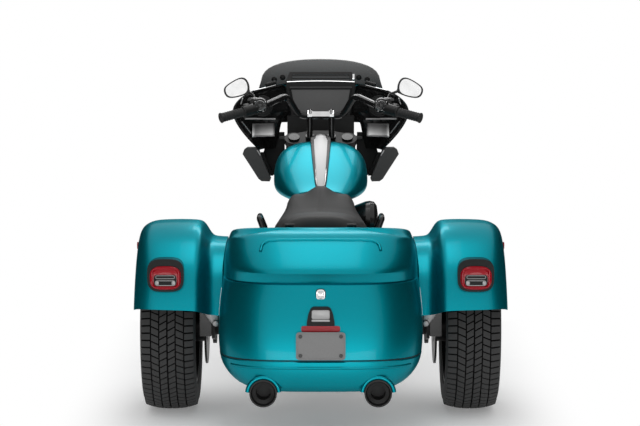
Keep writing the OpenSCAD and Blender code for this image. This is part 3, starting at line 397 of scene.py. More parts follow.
# %% Finishes of the other solids
FINISH_OF = {
    "frame": GLOSS_BLACK, "engine_case": ENGINE_BLACK, "cylinders": ENGINE_BLACK, "rocker_covers": CHROME,
    "engine_covers": GLOSS_BLACK, "air_cleaner": GLOSS_BLACK, "exhaust_pipes": CAST_GREY, "mufflers": SATIN_BLACK,
    "tank_console": LAMP_BLACK, "seat": SEAT_VINYL, "fairing_inner": GLOSS_BLACK, "dash_panel": GRAIN_BLACK,
    "display": DISPLAY_GLASS, "windshield": SMOKE_SCREEN, "fairing_vent": GLOSS_BLACK, "headlamp": CLEAR_LENS,
    "fairing_pods": DARK_GREY, "lower_panels": GRAIN_BLACK, "lid_hinges": SATIN_BLACK, "lid_leaves": SATIN_BLACK,
    "lamp_housings": LAMP_BLACK, "red_lenses": RED_LENS, "plate_bracket": GRAIN_BLACK, "number_plate": PLATE_GREY,
    "rear_axle": SATIN_BLACK, "swingarm": SATIN_BLACK, "shocks": SATIN_BLACK, "rear_calipers": GLOSS_BLACK,
    "footboards": SATIN_BLACK, "foot_controls": SATIN_BLACK, "grab_handles": GLOSS_BLACK, "oil_cooler": SATIN_BLACK,
    "fork": GLOSS_BLACK, "triple_clamps": RIM_BLACK, "handlebar": GLOSS_BLACK, "bar_clamp": CHROME,
    "grips": GRIP_RUBBER, "hand_controls": SATIN_BLACK, "mirrors": GLOSS_BLACK, "mirror_glass": MIRROR_FACE,
    "front_calipers": GLOSS_BLACK, "front_rim": GLOSS_BLACK, "front_discs": DISC_STEEL, "front_tyre": TYRE_RUBBER,
    "rear_rim_left": RIM_BLACK, "rear_tyre_left": TYRE_RUBBER, "rear_rim_right": RIM_BLACK,
    "rear_tyre_right": TYRE_RUBBER,
}
for name, finish in FINISH_OF.items():
    nodes[name].data.materials.clear()
    nodes[name].data.materials.append(finish)
print("dressed solids", len(FINISH_OF))

# %% [markdown]
# Each tyre is a carcass spun from its cross-section, with rubber blocks standing on it: skewed
# shoulder blocks, two rows of slanted blocks and a zigzag pair of ribs in the middle. One pitch
# of the pattern is modelled flat on the crown, and copies of it go round the wheel. The carcass
# between the blocks is a near-black rubber: painted shade in the grooves.

# %% Tyres
TREAD_DEPTH = 0.008
# Columns: inner and outer edge as shares of the half width; length, slant and shift as shares of
# the pitch.
TREAD_ROWS = [
    (0.66, 1.00, 0.78, 0.06, 0.0),
    (0.34, 0.61, 0.80, -0.40, 0.3),
    (0.03, 0.29, 0.80, 0.50, 0.6),
]


def crown(across, radius, half, drop):
    """Tread radius at a distance across the tyre."""
    return radius - drop * abs(across / half) ** 2.4


def tread_block(bm, row, side, radius, half, drop, pitch):
    inner, outer, share, slant, shift = row
    made = bmesh.ops.create_grid(bm, x_segments=3, y_segments=2, size=0.5)
    faces = list({face for vert in made["verts"] for face in vert.link_faces})
    deep = bmesh.ops.extrude_face_region(bm, geom=faces)
    low = {v for v in deep["geom"] if isinstance(v, bmesh.types.BMVert)}
    for vert in set(made["verts"]) | low:
        along = vert.co.x + 0.5
        across = side * half * (inner + (outer - inner) * along)
        turn = pitch * (vert.co.y * share + slant * (along - 0.5) * side + shift * side)
        at = crown(across, radius, half, drop) - (TREAD_DEPTH if vert in low else 0)
        vert.co = (across, at * math.sin(turn), at * math.cos(turn))
    hidden = [f for f in faces if f.is_valid and all(v in low for v in f.verts)]
    bmesh.ops.delete(bm, geom=hidden, context="FACES_ONLY")


def tyre(node, centre, half, drop, bead, pitches):
    """A carcass and its tread, in place of a plain tyre solid."""
    low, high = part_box(node)
    radius = (high.z - low.z) / 2
    base = radius - TREAD_DEPTH * 0.8
    wall = radius - bead
    section = [(half * s, crown(half * s, base, half, drop)) for s in (0, 0.2, 0.4, 0.6, 0.8, 0.93, 1.0)]
    section += [
        (half * 1.035, base - drop - 0.10 * wall),
        (half * 1.06, base - drop - 0.14 * wall),
        (half * 1.065, base - drop - 0.30 * wall),
        (half * 1.06, base - drop - 0.45 * wall),
        (half * 1.02, base - drop - 0.62 * wall),
        (half * 1.03, base - drop - 0.64 * wall),
        (half * 0.97, bead + 0.010),
        (half * 0.93, bead),
    ]
    bm = bmesh.new()
    loop = section[:0:-1]
    points = [(-x, 0, r) for x, r in loop] + [(x, 0, r) for x, r in section]
    verts = [bm.verts.new(p) for p in points]
    edges = [bm.edges.new(pair) for pair in zip(verts, verts[1:])]
    bmesh.ops.spin(
        bm, geom=verts + edges, axis=(1, 0, 0), cent=(0, 0, 0), steps=96, angle=2 * math.pi, use_merge=True
    )
    bmesh.ops.recalc_face_normals(bm, faces=bm.faces)
    tread = bmesh.new()
    pitch = 2 * math.pi / pitches
    for row in TREAD_ROWS:
        for side in (-1, 1):
            tread_block(tread, row, side, radius, half, drop, pitch)
    bmesh.ops.recalc_face_normals(tread, faces=tread.faces)
    geometry = tread.verts[:] + tread.edges[:] + tread.faces[:]
    bmesh.ops.spin(
        tread, geom=geometry, axis=(1, 0, 0), cent=(0, 0, 0), steps=pitches - 1,
        angle=2 * math.pi - pitch, use_duplicate=True,
    )
    carcass_faces = len(bm.faces)
    blocks = bpy.data.meshes.new("tread")
    tread.to_mesh(blocks)
    tread.free()
    bm.from_mesh(blocks)
    bpy.data.meshes.remove(blocks)
    bmesh.ops.translate(bm, verts=bm.verts, vec=centre)
    made = piece(bm, node + "_treaded", TYRE_RUBBER, body_of_node[node], math.radians(30))
    # The carcass on the crown, between the blocks, takes the near-black rubber: painted shade in the grooves.
    made.data.materials.append(GROOVE_PAINTED_SHADE)
    for face in made.data.polygons[:carcass_faces]:
        if abs(face.center.x - centre.x) < half * 0.99:
            face.material_index = 1
    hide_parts(node)
    print(node, "half width", round(half, 3), "faces", len(made.data.polygons))


for node, drop, bead_share, pitches in (
    ("rear_tyre_left", 0.016, 0.66, 72),
    ("rear_tyre_right", 0.016, 0.66, 72),
    ("front_tyre", 0.030, 0.76, 60),
):
    low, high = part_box(node)
    radius = (high.z - low.z) / 2
    tyre(node, (low + high) / 2, (high.x - low.x) / 2 / 1.07, drop, bead_share * radius, pitches)

# %% [markdown]
# The seat is one padded vinyl cover over foam. A closed copy of the solid is remeshed evenly,
# so that its skin can be pressed in along the seams, and smoothed, so that it swells between
# them: a seam across where the rider's part ends, and one down the middle.

# %% Seat
SEAT_VOXEL = 0.006
SEAM_DEPTH = 0.006
SEAM_WIDTH = 0.007
SEAM_AT, SEAM_BOW = -0.385, 0.25
NOSE_FROM, NOSE_LONG, NOSE_HALF, NOSE_RISE = -0.24, 0.22, 0.07, 0.013


def seat_pad():
    bm = merged("seat")
    made = piece(bm, "seat_pad", SEAT_VINYL, "chassis", math.pi)
    remesh = made.modifiers.new("even", "REMESH")
    remesh.mode = "VOXEL"
    remesh.voxel_size = SEAT_VOXEL
    graph = bpy.context.evaluated_depsgraph_get()
    even = bpy.data.meshes.new_from_object(made.evaluated_get(graph))
    made.modifiers.clear()
    bm = bmesh.new()
    bm.from_mesh(even)
    for _ in range(12):
        bmesh.ops.smooth_vert(bm, verts=bm.verts, factor=0.5, use_axis_x=True, use_axis_y=True, use_axis_z=True)
    bm.normal_update()
    for vert in bm.verts:
        front = min(max((vert.co.y - NOSE_FROM) / NOSE_LONG, 0), 1)
        if vert.normal.z > 0 and abs(vert.co.x) < 2 * NOSE_HALF:
            vert.co.z += NOSE_RISE * front * front * math.cos(math.pi * vert.co.x / NOSE_HALF)
        if vert.normal.z > 0.1:
            cross = vert.co.y - SEAM_AT - SEAM_BOW * vert.co.x**2
            middle = vert.co.x if vert.co.y > SEAM_AT else 1.0
            groove = math.exp(-((cross / SEAM_WIDTH) ** 2)) + 0.6 * math.exp(-((middle / SEAM_WIDTH) ** 2))
            vert.co.z -= SEAM_DEPTH * min(groove, 1.2) * vert.normal.z
    for face in bm.faces:
        face.smooth = True
    bm.to_mesh(made.data)
    bm.free()
    rounded = made.modifiers.new("rounded", "SUBSURF")
    rounded.levels = rounded.render_levels = 1
    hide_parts("seat")
    print("seat faces", len(made.data.polygons))


seat_pad()

# %% [markdown]
# Small parts are built from a few shapes: a block, a round bar, a ring, a flat frame with round
# corners and a bead along a line. Each starts as one bmesh primitive and is then scaled, turned,
# inset, spun or bridged, and its sharp edges are rounded. To sit on a curved panel, a part asks
# the panel where a ray meets it.


# %% Shapes for small parts
def corners(geometry):
    """The corners among what an extrusion made."""
    return [g for g in geometry if isinstance(g, bmesh.types.BMVert)]


def soften(bm, verts, offset, segments=2):
    """Rounds the sharp edges that meet some corners."""
    edges = list({e for v in verts for e in v.link_edges if e.calc_face_angle(0.0) > 0.6})
    bmesh.ops.bevel(bm, geom=edges, offset=offset, segments=segments, profile=0.5, affect="EDGES", material=-1)


def settle(bm, verts, middle, turn=None):
    if turn:
        bmesh.ops.rotate(bm, verts=verts, matrix=turn)
    bmesh.ops.translate(bm, verts=verts, vec=middle)


def block(bm, middle, size, offset=0.002, turn=None):
    """A box with rounded edges."""
    verts = bmesh.ops.create_cube(bm, size=1)["verts"]
    bmesh.ops.scale(bm, verts=verts, vec=size)
    settle(bm, verts, middle, turn)
    soften(bm, verts, offset)


def drum(bm, start, end, radius, tip=None, offset=0.001, segments=28):
    """A round bar or cone between two points, with rounded rims."""
    start, end = Vector(start), Vector(end)
    tip = radius if tip is None else tip
    length = (end - start).length
    made = bmesh.ops.create_cone(bm, cap_ends=True, segments=segments, radius1=radius, radius2=tip, depth=length)
    settle(bm, made["verts"], (start + end) / 2, Vector((0, 0, 1)).rotation_difference(end - start).to_matrix())
    soften(bm, made["verts"], offset)


def ring(bm, centre, axis, radius, thick, steps=40, sides=10):
    """A round bead bent into a circle."""
    old = set(bm.verts)
    verts = bmesh.ops.create_circle(bm, segments=sides, radius=thick)["verts"]
    settle(bm, verts, (radius, 0, 0), Matrix.Rotation(math.pi / 2, 3, "X"))
    edges = list({e for v in verts for e in v.link_edges})
    bmesh.ops.spin(
        bm, geom=verts + edges, axis=(0, 0, 1), cent=(0, 0, 0), steps=steps, angle=2 * math.pi, use_merge=True
    )
    fresh = [v for v in bm.verts if v not in old]
    settle(bm, fresh, centre, Vector((0, 0, 1)).rotation_difference(Vector(axis)).to_matrix())


def plate(bm, middle, half, corner, depth, width=None, offset=0.001, turn=None):
    """A flat plate facing the rear with round corners, or a frame of some width."""
    old_faces, old_verts = set(bm.faces), set(bm.verts)
    verts = bmesh.ops.create_grid(bm, x_segments=1, y_segments=1, size=1)["verts"]
    bmesh.ops.scale(bm, verts=verts, vec=(half[0], half[1], 1))
    bmesh.ops.bevel(bm, geom=verts, offset=corner, segments=6, profile=0.5, affect="VERTICES", material=-1)
    faces = [f for f in bm.faces if f not in old_faces]
    if width:
        rim = bmesh.ops.inset_region(bm, faces=faces, thickness=width, use_boundary=True, use_even_offset=True)
        bmesh.ops.delete(bm, geom=faces, context="FACES_ONLY")
        faces = rim["faces"]
    deep = bmesh.ops.extrude_face_region(bm, geom=faces)["geom"]
    bmesh.ops.translate(bm, verts=corners(deep), vec=(0, 0, depth))
    fresh = [v for v in bm.verts if v not in old_verts]
    facing = Matrix.Rotation(math.pi / 2, 3, "X")
    settle(bm, fresh, middle, turn @ facing if turn else facing)
    soften(bm, fresh, offset)


def bead(bm, points, radius, sides=8):
    """A round bead along a line of points."""
    points = [Vector(p) for p in points]
    last = None
    for i, point in enumerate(points):
        along = points[min(i + 1, len(points) - 1)] - points[max(i - 1, 0)]
        ends = i in (0, len(points) - 1)
        verts = bmesh.ops.create_circle(bm, segments=sides, radius=radius, cap_ends=ends)["verts"]
        edges = list({e for v in verts for e in v.link_edges})
        settle(bm, verts, point, along.to_track_quat("Z", "Y").to_matrix())
        if last:
            bmesh.ops.bridge_loops(bm, edges=last + edges)
        last = edges


def small_part(bm, name, finish, node):
    """Writes a bmesh as a piece that moves with a solid."""
    bmesh.ops.recalc_face_normals(bm, faces=bm.faces)
    piece(bm, name, finish, body_of_node[node])


def surface(node):
    """What a ray meets on a solid."""
    bm = merged(node)
    tree = BVHTree.FromBMesh(bm)
    bm.free()
    return tree


def behind(tree, x, z):
    """The point of a surface that is seen from the rear at a place, or nothing."""
    return tree.ray_cast(Vector((x, -4, z)), Vector((0, 1, 0)))[0]


def line_on(tree, start, end, count, lift=0.0):
    """Points along a straight line as it lies on a surface seen from the rear."""
    found = []
    for i in range(count):
        x = start[0] + (end[0] - start[0]) * i / (count - 1)
        z = start[1] + (end[1] - start[1]) * i / (count - 1)
        hit = behind(tree, x, z)
        if hit:
            found.append(hit - Vector((0, lift, 0)))
    return found


TUB, LID, INNER = surface("trunk_tub"), surface("trunk_lid"), surface("fairing_inner")
FENDERS, OUTER, PODS = surface("rear_fenders"), surface("fairing_outer"), surface("fairing_pods")

# %% [markdown]
# Trunk: a push lock in a chrome collar, and a pressed line near the top of the lid that stiffens
# the sheet. The lock is turned on a lathe, so it is drawn as rings and drums about one axis.

# %% Trunk lock and lid line
LOCK_HEIGHT = 0.525
CREASE_RIGHT = [
    (0.0, 0.7125), (0.150, 0.7115), (0.190, 0.7085), (0.205, 0.7025), (0.214, 0.693), (0.219, 0.674),
]


def trunk_lock():
    at = behind(TUB, 0, LOCK_HEIGHT)
    out = Vector((0, -1, 0))
    bm = bmesh.new()
    plate(bm, at - 0.003 * out, (0.016, 0.020), 0.012, 0.007, None, 0.002)
    ring(bm, at + 0.004 * out, out, 0.0115, 0.0022)
    drum(bm, at, at + 0.008 * out, 0.0085)
    small_part(bm, "trunk_lock", CHROME, "trunk_tub")
    slot = bmesh.new()
    block(slot, at + 0.0078 * out, (0.0022, 0.003, 0.007), 0.0005)
    plate(slot, at - 0.002 * out, (0.018, 0.022), 0.014, 0.004, None, 0.001)
    small_part(slot, "trunk_lock_slot", SATIN_BLACK, "trunk_tub")


def lid_line():
    bm = bmesh.new()
    points = []
    outline = [(-x, z) for x, z in CREASE_RIGHT[:0:-1]] + CREASE_RIGHT
    for start, end in zip(outline, outline[1:]):
        points += line_on(LID, start, end, 8, -0.002)[:-1]
    bead(bm, points, 0.006, 12)
    small_part(bm, "lid_line", PAINT, "trunk_lid")
    print("lid line points", len(points))


trunk_lock()
lid_line()

# %% [markdown]
# Tail lamps: each red lens is a moulded rim round a dark field with a bright bar across the
# middle and a bright trough below, the reflectors of two lamp chambers. They are thin plates with
# round corners, laid one on another. A small red marker sits on the side of each fender, where
# the fender is widest.

# %% Tail lamps and side markers
LAMP_X, LAMP_Z, LENS_FACE = 0.576, 0.558, -1.0725
FIELD_DROP, BAR_RISE, TROUGH_DROP, TROUGH_END = 0.008, 0.0045, 0.0175, 0.030
MARKER_YS, MARKER_Z, MARKER_PROUD = range(-98, -64, 2), 0.650, 0.004


def tail_lamp(side):
    x = side * LAMP_X
    name = side_name(side)
    field = bmesh.new()
    plate(field, (x, LENS_FACE, LAMP_Z - FIELD_DROP), (0.042, 0.021), 0.012, 0.002)
    small_part(field, f"lamp_field_{name}", GRAIN_BLACK, "red_lenses")
    bars = bmesh.new()
    front, trough = LENS_FACE - 0.001, LAMP_Z - TROUGH_DROP
    plate(bars, (x, front, LAMP_Z + BAR_RISE), (0.036, 0.0068), 0.006, 0.0026, 0.0026)
    plate(bars, (x, front, trough), (0.038, 0.0102), 0.009, 0.0026, 0.0030)
    for shift in (-TROUGH_END, TROUGH_END):
        plate(bars, (x + shift, front, trough), (0.0065, 0.0072), 0.004, 0.0024)
    small_part(bars, f"lamp_bars_{name}", CAST_GREY, "red_lenses")
    rim = bmesh.new()
    plate(rim, (x, LENS_FACE + 0.002, LAMP_Z), (0.052, 0.038), 0.018, 0.004, 0.0055, 0.0015)
    small_part(rim, f"lamp_rim_{name}", RED_LENS, "red_lenses")


def side_marker(side):
    out = Vector((side, 0, 0))
    rays = [FENDERS.ray_cast(Vector((side * 2, y / 100, MARKER_Z)), -out)[0] for y in MARKER_YS]
    hit = max((h for h in rays if h), key=lambda h: abs(h.x))
    bm = bmesh.new()
    drum(bm, hit - MARKER_PROUD * out, hit + MARKER_PROUD * out, 0.014, 0.011, 0.002)
    ring(bm, hit + 0.002 * out, (1, 0, 0), 0.0125, 0.0018)
    small_part(bm, f"side_marker_{side_name(side)}", RED_LENS, "rear_fenders")
    print("side marker", side_name(side), [round(c, 3) for c in hit])


for side in (-1, 1):
    tail_lamp(side)
    side_marker(side)

# %% [markdown]
# Number plate: blank sheet with a pressed rim, held by four screws. The lamp above it has a pale
# cover in a dark hood.

# %% Plate trim
PLATE_LAMP_Z = 0.458
SCREW_X, SCREW_Z = 0.073, 0.035


def plate_trim():
    rim = bmesh.new()
    low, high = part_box("number_plate")
    half = ((high.x - low.x) / 2 - 0.003, (high.z - low.z) / 2 - 0.003)
    plate(rim, (0, low.y + 0.001, (low.z + high.z) / 2), half, 0.010, 0.002, 0.0035, 0.0007)
    small_part(rim, "plate_rim", PLATE_GREY, "number_plate")
    screws = bmesh.new()
    for x in (-SCREW_X, SCREW_X):
        for z in (-SCREW_Z, SCREW_Z):
            at = Vector((x, low.y, (low.z + high.z) / 2 + z))
            drum(screws, at + Vector((0, 0.002, 0)), at - Vector((0, 0.003, 0)), 0.0075, 0.0065)
            ring(screws, at - Vector((0, 0.002, 0)), (0, 1, 0), 0.004, 0.0012, 20, 8)
    small_part(screws, "plate_screws", DARK_GREY, "number_plate")
    cover = bmesh.new()
    hood = surface("plate_bracket")
    at = behind(hood, 0, PLATE_LAMP_Z)
    plate(cover, at, (0.033, 0.017), 0.007, 0.005, None, 0.002)
    plate(cover, at - Vector((0, 0, 0.022)), (0.033, 0.004), 0.003, 0.003, None, 0.001)
    small_part(cover, "plate_lamp_cover", CAST_GREY, "plate_bracket")
    print("plate lamp at", at)


plate_trim()

# %% [markdown]
# Console: a brushed panel set into a black surround, with a pale bead between them. Each layer
# is a narrower copy of the console, lifted a little along its normals.

# %% Console layers
CONSOLE_LAYERS = [
    ("console_bead", 0.80, 0.0010, CHROME),
    ("console_line", 0.74, 0.0018, LAMP_BLACK),
    ("console_panel", 0.67, 0.0026, BRUSHED_PANEL),
]


def console_layer(name, share, lift, finish):
    bm = merged("tank_console")
    bm.normal_update()
    shifted = [(v, v.co + v.normal * lift) for v in bm.verts]
    for vert, place in shifted:
        vert.co = (place.x * share, place.y, place.z)
    small_part(bm, name, finish, "tank_console")


for layer in CONSOLE_LAYERS:
    console_layer(*layer)

# %% [markdown]
# Cockpit: the bright strip under the air vent, the lit rim of the fairing, the knobs that hold
# the screen, the trim line and storage door of each lobe, and the round speaker behind its
# rings. The door's colour is a painted reflection that lightens toward its foot, and pale lines
# along the edges of each lobe and pod are painted highlights. All of it lies on the fairing's
# inner side, so its places are found with rays.

# %% Cockpit trim
RIM_LINE = [(0.156, 1.222), (0.195, 1.203), (0.245, 1.190), (0.308, 1.176)]
KNOBS, KNOB_Y = [(0.172, 1.232), (0.210, 1.222)], 0.835
SHELF = [(0.338, 1.052), (0.205, 1.047)]
# Lines of painted highlight along the edges of each lobe and of the pod below it.
EDGE_HIGHLIGHTS = [((0.343, 1.160), (0.357, 1.118)), ((0.352, 1.040), (0.312, 0.985))]
POD_HIGHLIGHT = [(0.284, 0.912), (0.232, 0.824)]
DOOR_X, DOOR_Z, DOOR_HALF, DOOR_BULGE = 0.256, 1.000, (0.050, 0.030), 0.030
SPEAKER_X, SPEAKER_Z, SPEAKER_R = 0.262, 1.108, 0.046


def vent_strip():
    low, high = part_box("fairing_vent")
    bm = bmesh.new()
    points = []
    for i in range(13):
        share = i / 6 - 1
        points.append((share * (high.x - 0.006), low.y - 0.001, low.z + 0.010 - 0.004 * share**2))
    bead(bm, points, 0.0036)
    block(bm, (high.x - 0.010, low.y, (low.z + high.z) / 2 + 0.002), (0.012, 0.006, 0.030), 0.002)
    small_part(bm, "vent_strip", CHROME, "fairing_vent")
    louver = bmesh.new()
    for z in (0.42, 0.66):
        middle = (0, (low.y + high.y) / 2, low.z + (high.z - low.z) * z)
        block(louver, middle, (high.x * 1.66, (high.y - low.y) * 0.5, 0.003), 0.001)
    small_part(louver, "vent_louvers", GRAIN_BLACK, "fairing_vent")
    print("vent", low, high)


def to_side(side, line):
    """A line given for the right side, put on either side."""
    return [(side * x, z) for x, z in line]


def shelf_trim(side):
    bm = bmesh.new()
    line = line_on(INNER, *to_side(side, SHELF), 16)
    bead(bm, [p - Vector((0, 0.004, 0)) for p in line], 0.0042)
    small_part(bm, f"shelf_trim_{side_name(side)}", PALE_TRIM_AND_HIGHLIGHT, "fairing_inner")


def storage_door(side):
    """A bulged door that hangs from its top edge on the lobe."""
    bm = bmesh.new()
    for vert in bmesh.ops.create_grid(bm, x_segments=8, y_segments=6, size=1)["verts"]:
        x = side * (DOOR_X + vert.co.x * DOOR_HALF[0])
        hit = behind(INNER, x, DOOR_Z + DOOR_HALF[1])
        bulge = DOOR_BULGE * (1 - vert.co.y) / 2
        vert.co = (x, hit.y - 0.004 - bulge, DOOR_Z + vert.co.y * DOOR_HALF[1])
    deep = bmesh.ops.extrude_face_region(bm, geom=bm.faces[:])["geom"]
    bmesh.ops.translate(bm, verts=corners(deep), vec=(0, 0.03, 0))
    soften(bm, bm.verts[:], 0.002)
    # Its finish is a painted reflection that lightens toward the door's foot.
    small_part(bm, f"storage_door_{side_name(side)}", DOOR_PAINTED_REFLECTION, "fairing_inner")


def speaker(side):
    bm = bmesh.new()
    at = behind(INNER, side * SPEAKER_X, SPEAKER_Z)
    for share in (1.0, 0.8, 0.6, 0.4, 0.2):
        ring(bm, at - Vector((0, 0.003, 0)), (0, 1, 0), SPEAKER_R * share, 0.0022, 40, 8)
    drum(bm, at + Vector((0, 0.02, 0)), at - Vector((0, 0.001, 0)), SPEAKER_R, SPEAKER_R * 0.98)
    small_part(bm, f"speaker_{side_name(side)}", SATIN_BLACK, "fairing_inner")


def rim_points(side):
    """Points along the rim of the fairing's outer shell."""
    points = []
    line = to_side(side, RIM_LINE)
    for start, end in zip(line, line[1:]):
        points += line_on(OUTER, start, end, 8, 0.001)[:-1]
    return points


def fairing_rim(side):
    bm = bmesh.new()
    bead(bm, rim_points(side), 0.0024)
    small_part(bm, f"fairing_rim_{side_name(side)}", CHROME, "fairing_outer")


def edge_highlights(side):
    """Painted highlights: pale lines along the edges of the lobe and of the pod below it."""
    bm = bmesh.new()
    for tree, line, count in ((INNER, EDGE_HIGHLIGHTS[0], 10), (INNER, EDGE_HIGHLIGHTS[1], 10), (PODS, POD_HIGHLIGHT, 12)):
        points = line_on(tree, *to_side(side, line), count, 0.001)
        print("edge line", side_name(side), len(points))
        if len(points) > 2:
            bead(bm, points, 0.0026)
    small_part(bm, f"edge_highlights_{side_name(side)}", PALE_TRIM_AND_HIGHLIGHT, "fairing_inner")


def screen_knobs(side):
    """The knobs that hold the screen, and the rubber roll along its foot."""
    bm = bmesh.new()
    for x, z in KNOBS:
        at = Vector((side * x, KNOB_Y, z))
        drum(bm, at + Vector((0, 0.012, 0)), at - Vector((0, 0.014, 0)), 0.011, 0.008, 0.003)
        ring(bm, at - Vector((0, 0.002, 0)), (0, 1, 0), 0.0105, 0.002, 24, 8)
    roll = [p + Vector((0, 0.012, 0.011)) for p in rim_points(side) if abs(p.x) < 0.25]
    bead(bm, roll, 0.010, 12)
    small_part(bm, f"screen_knobs_{side_name(side)}", GRAIN_BLACK, "fairing_inner")


vent_strip()
for side in (-1, 1):
    for part in (shelf_trim, storage_door, speaker, fairing_rim, edge_highlights, screen_knobs):
        part(side)

# %% [markdown]
# The display sits in a raised bezel, thicker along its top edge. Each switch pod clamps round
# the handlebar: a drum with a bright ring, a thumb stick in the middle and buttons about it.

# %% Bezel, switch pods and grips
SCREEN_CORNERS = [(-0.1365, 1.186), (-0.1155, 1.0745), (0.1155, 1.0745), (0.1365, 1.186)]
POD_AT, POD_RADIUS, POD_DEEP = Vector((0.262, 0.450, 1.127)), 0.034, 0.062
GRIP_IN, GRIP_END = Vector((0.332, 0.381, 1.1005)), Vector((0.430, 0.330, 1.076))
GRIP_RADIUS = 0.0190


def bezel():
    glass = surface("display")
    bm = bmesh.new()
    for start, end in zip(SCREEN_CORNERS, SCREEN_CORNERS[1:]):
        bead(bm, line_on(glass, start, end, 8, 0.001), 0.0032)
    top = line_on(glass, SCREEN_CORNERS[0], SCREEN_CORNERS[3], 12, 0.001)
    bead(bm, top, 0.0055, 12)
    small_part(bm, "display_bezel", GRAIN_BLACK, "dash_panel")
    print("bezel points", len(top))


def switch_pod(side):
    name = side_name(side)
    at = Vector((side * POD_AT.x, POD_AT.y, POD_AT.z))
    back = Vector((0, -1, 0))
    face = at + POD_DEEP * back
    bm = bmesh.new()
    drum(bm, at - 0.018 * back, face, POD_RADIUS, POD_RADIUS * 0.94, 0.005)
    block(bm, at + Vector((side * 0.030, 0.004, 0.006)), (0.050, 0.040, 0.052), 0.010)
    small_part(bm, f"switch_pod_{name}", GLOSS_BLACK, "hand_controls")
    bright = bmesh.new()
    ring(bright, face, back, POD_RADIUS * 0.62, 0.0013, 40, 8)
    ring(bright, face + 0.006 * back, back, POD_RADIUS * 0.20, 0.0016, 24, 8)
    for turn in (0.6, 2.5, 4.2, 5.2):
        out = Vector((math.cos(turn), 0, math.sin(turn))) * POD_RADIUS * 0.80
        drum(bright, face + out, face + out + 0.003 * back, 0.0030, 0.0022, 0.0008, 16)
    small_part(bright, f"switch_trim_{name}", SATIN_SILVER, "hand_controls")
    keys = bmesh.new()
    drum(keys, face, face + 0.010 * back, 0.010, 0.007, 0.002)
    for step in range(6):
        turn = step * math.pi / 3 + 0.3
        out = Vector((math.cos(turn), 0, math.sin(turn))) * POD_RADIUS * 0.44
        block(keys, face + out + 0.002 * back, (0.008, 0.006, 0.008), 0.0015, Matrix.Rotation(-turn, 3, "Y"))
    for shift, low in ((-0.012, 0.022), (0.012, 0.022), (0.0, -0.020)):
        middle = at + Vector((side * 0.036 + shift, -0.018, low))
        block(keys, middle, (0.018, 0.012, 0.009), 0.002)
    small_part(keys, f"switch_keys_{name}", DARK_GREY, "hand_controls")


def grip_rings(side):
    bm = bmesh.new()
    start, end = GRIP_IN.copy(), GRIP_END.copy()
    start.x, end.x = side * start.x, side * end.x
    for step in range(9):
        ring(bm, start.lerp(end, 0.06 + 0.10 * step), end - start, GRIP_RADIUS, 0.0016, 28, 6)
    ring(bm, start.lerp(end, 0.985), end - start, GRIP_RADIUS + 0.001, 0.003, 28, 8)
    small_part(bm, f"grip_rings_{side_name(side)}", GRIP_RUBBER, "grips")


bezel()
for side in (-1, 1):
    switch_pod(side)
    grip_rings(side)

# %% [markdown]
# A dark rubber strip closes the joint between the trunk and the bumper below it. The bumper has
# a pressed line across and a rolled lip over each exhaust tip, as thick sheet is turned over
# where a pipe passes through it.

# %% Bumper strip and lips
STRIP_HALF, LINE_HALF, STRIP_RADIUS = 0.362, 0.325, 0.0032
SEAM_ABOVE, LINE_BELOW = 0.002, 0.024
TIP_X, TIP_Z, LIP_RADIUS, LIP_THICK = 0.208, 0.169, 0.057, 0.0085


def bumper_trim():
    low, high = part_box("rear_bumper")
    strip = bmesh.new()
    seam, pressed = high.z + SEAM_ABOVE, high.z - LINE_BELOW
    points = line_on(TUB, (-STRIP_HALF, seam), (STRIP_HALF, seam), 40, -0.003)
    bead(strip, points, STRIP_RADIUS)
    small_part(strip, "bumper_strip", SATIN_BLACK, "rear_bumper")
    bumper = surface("rear_bumper")
    line = bmesh.new()
    bead(line, line_on(bumper, (-LINE_HALF, pressed), (LINE_HALF, pressed), 40, -0.003), 0.006, 12)
    small_part(line, "bumper_line", PAINT, "rear_bumper")
    lips = bmesh.new()
    for side in (-1, 1):
        face = behind(bumper, side * TIP_X, TIP_Z + LIP_RADIUS + 0.012)
        arc = []
        for step in range(25):
            turn = math.radians(4 + 172 * step / 24)
            out = Vector((math.cos(turn), 0, math.sin(turn))) * LIP_RADIUS
            arc.append(Vector((side * TIP_X, face.y + 0.002, TIP_Z)) + out)
        bead(lips, arc, LIP_THICK, 14)
    small_part(lips, "exhaust_lips", PAINT, "rear_bumper")
    print("bumper strip", len(points), "lip at", face)


bumper_trim()

# %% [markdown]
# Wheels: drilled brake discs with a bolted carrier in front, and lug nuts round each rear hub.
# The holes are shallow dark studs set flush into the disc, which read as drillings. Their dark
# colour is partly painted shade in the depth of each hole and partly the black wheel behind it.

# %% Wheel fittings
DISC_ROWS = [(0.80, 26), (0.90, 26)]
BOLT_COUNT, BOLT_SHARE = 10, 0.60
LUG_COUNT, LUG_CIRCLE = 5, 0.052


def on_circle(x, hub, radius, turn):
    """A point on a circle about the wheel's axle."""
    return Vector((x, hub.y + radius * math.cos(turn), hub.z + radius * math.sin(turn)))


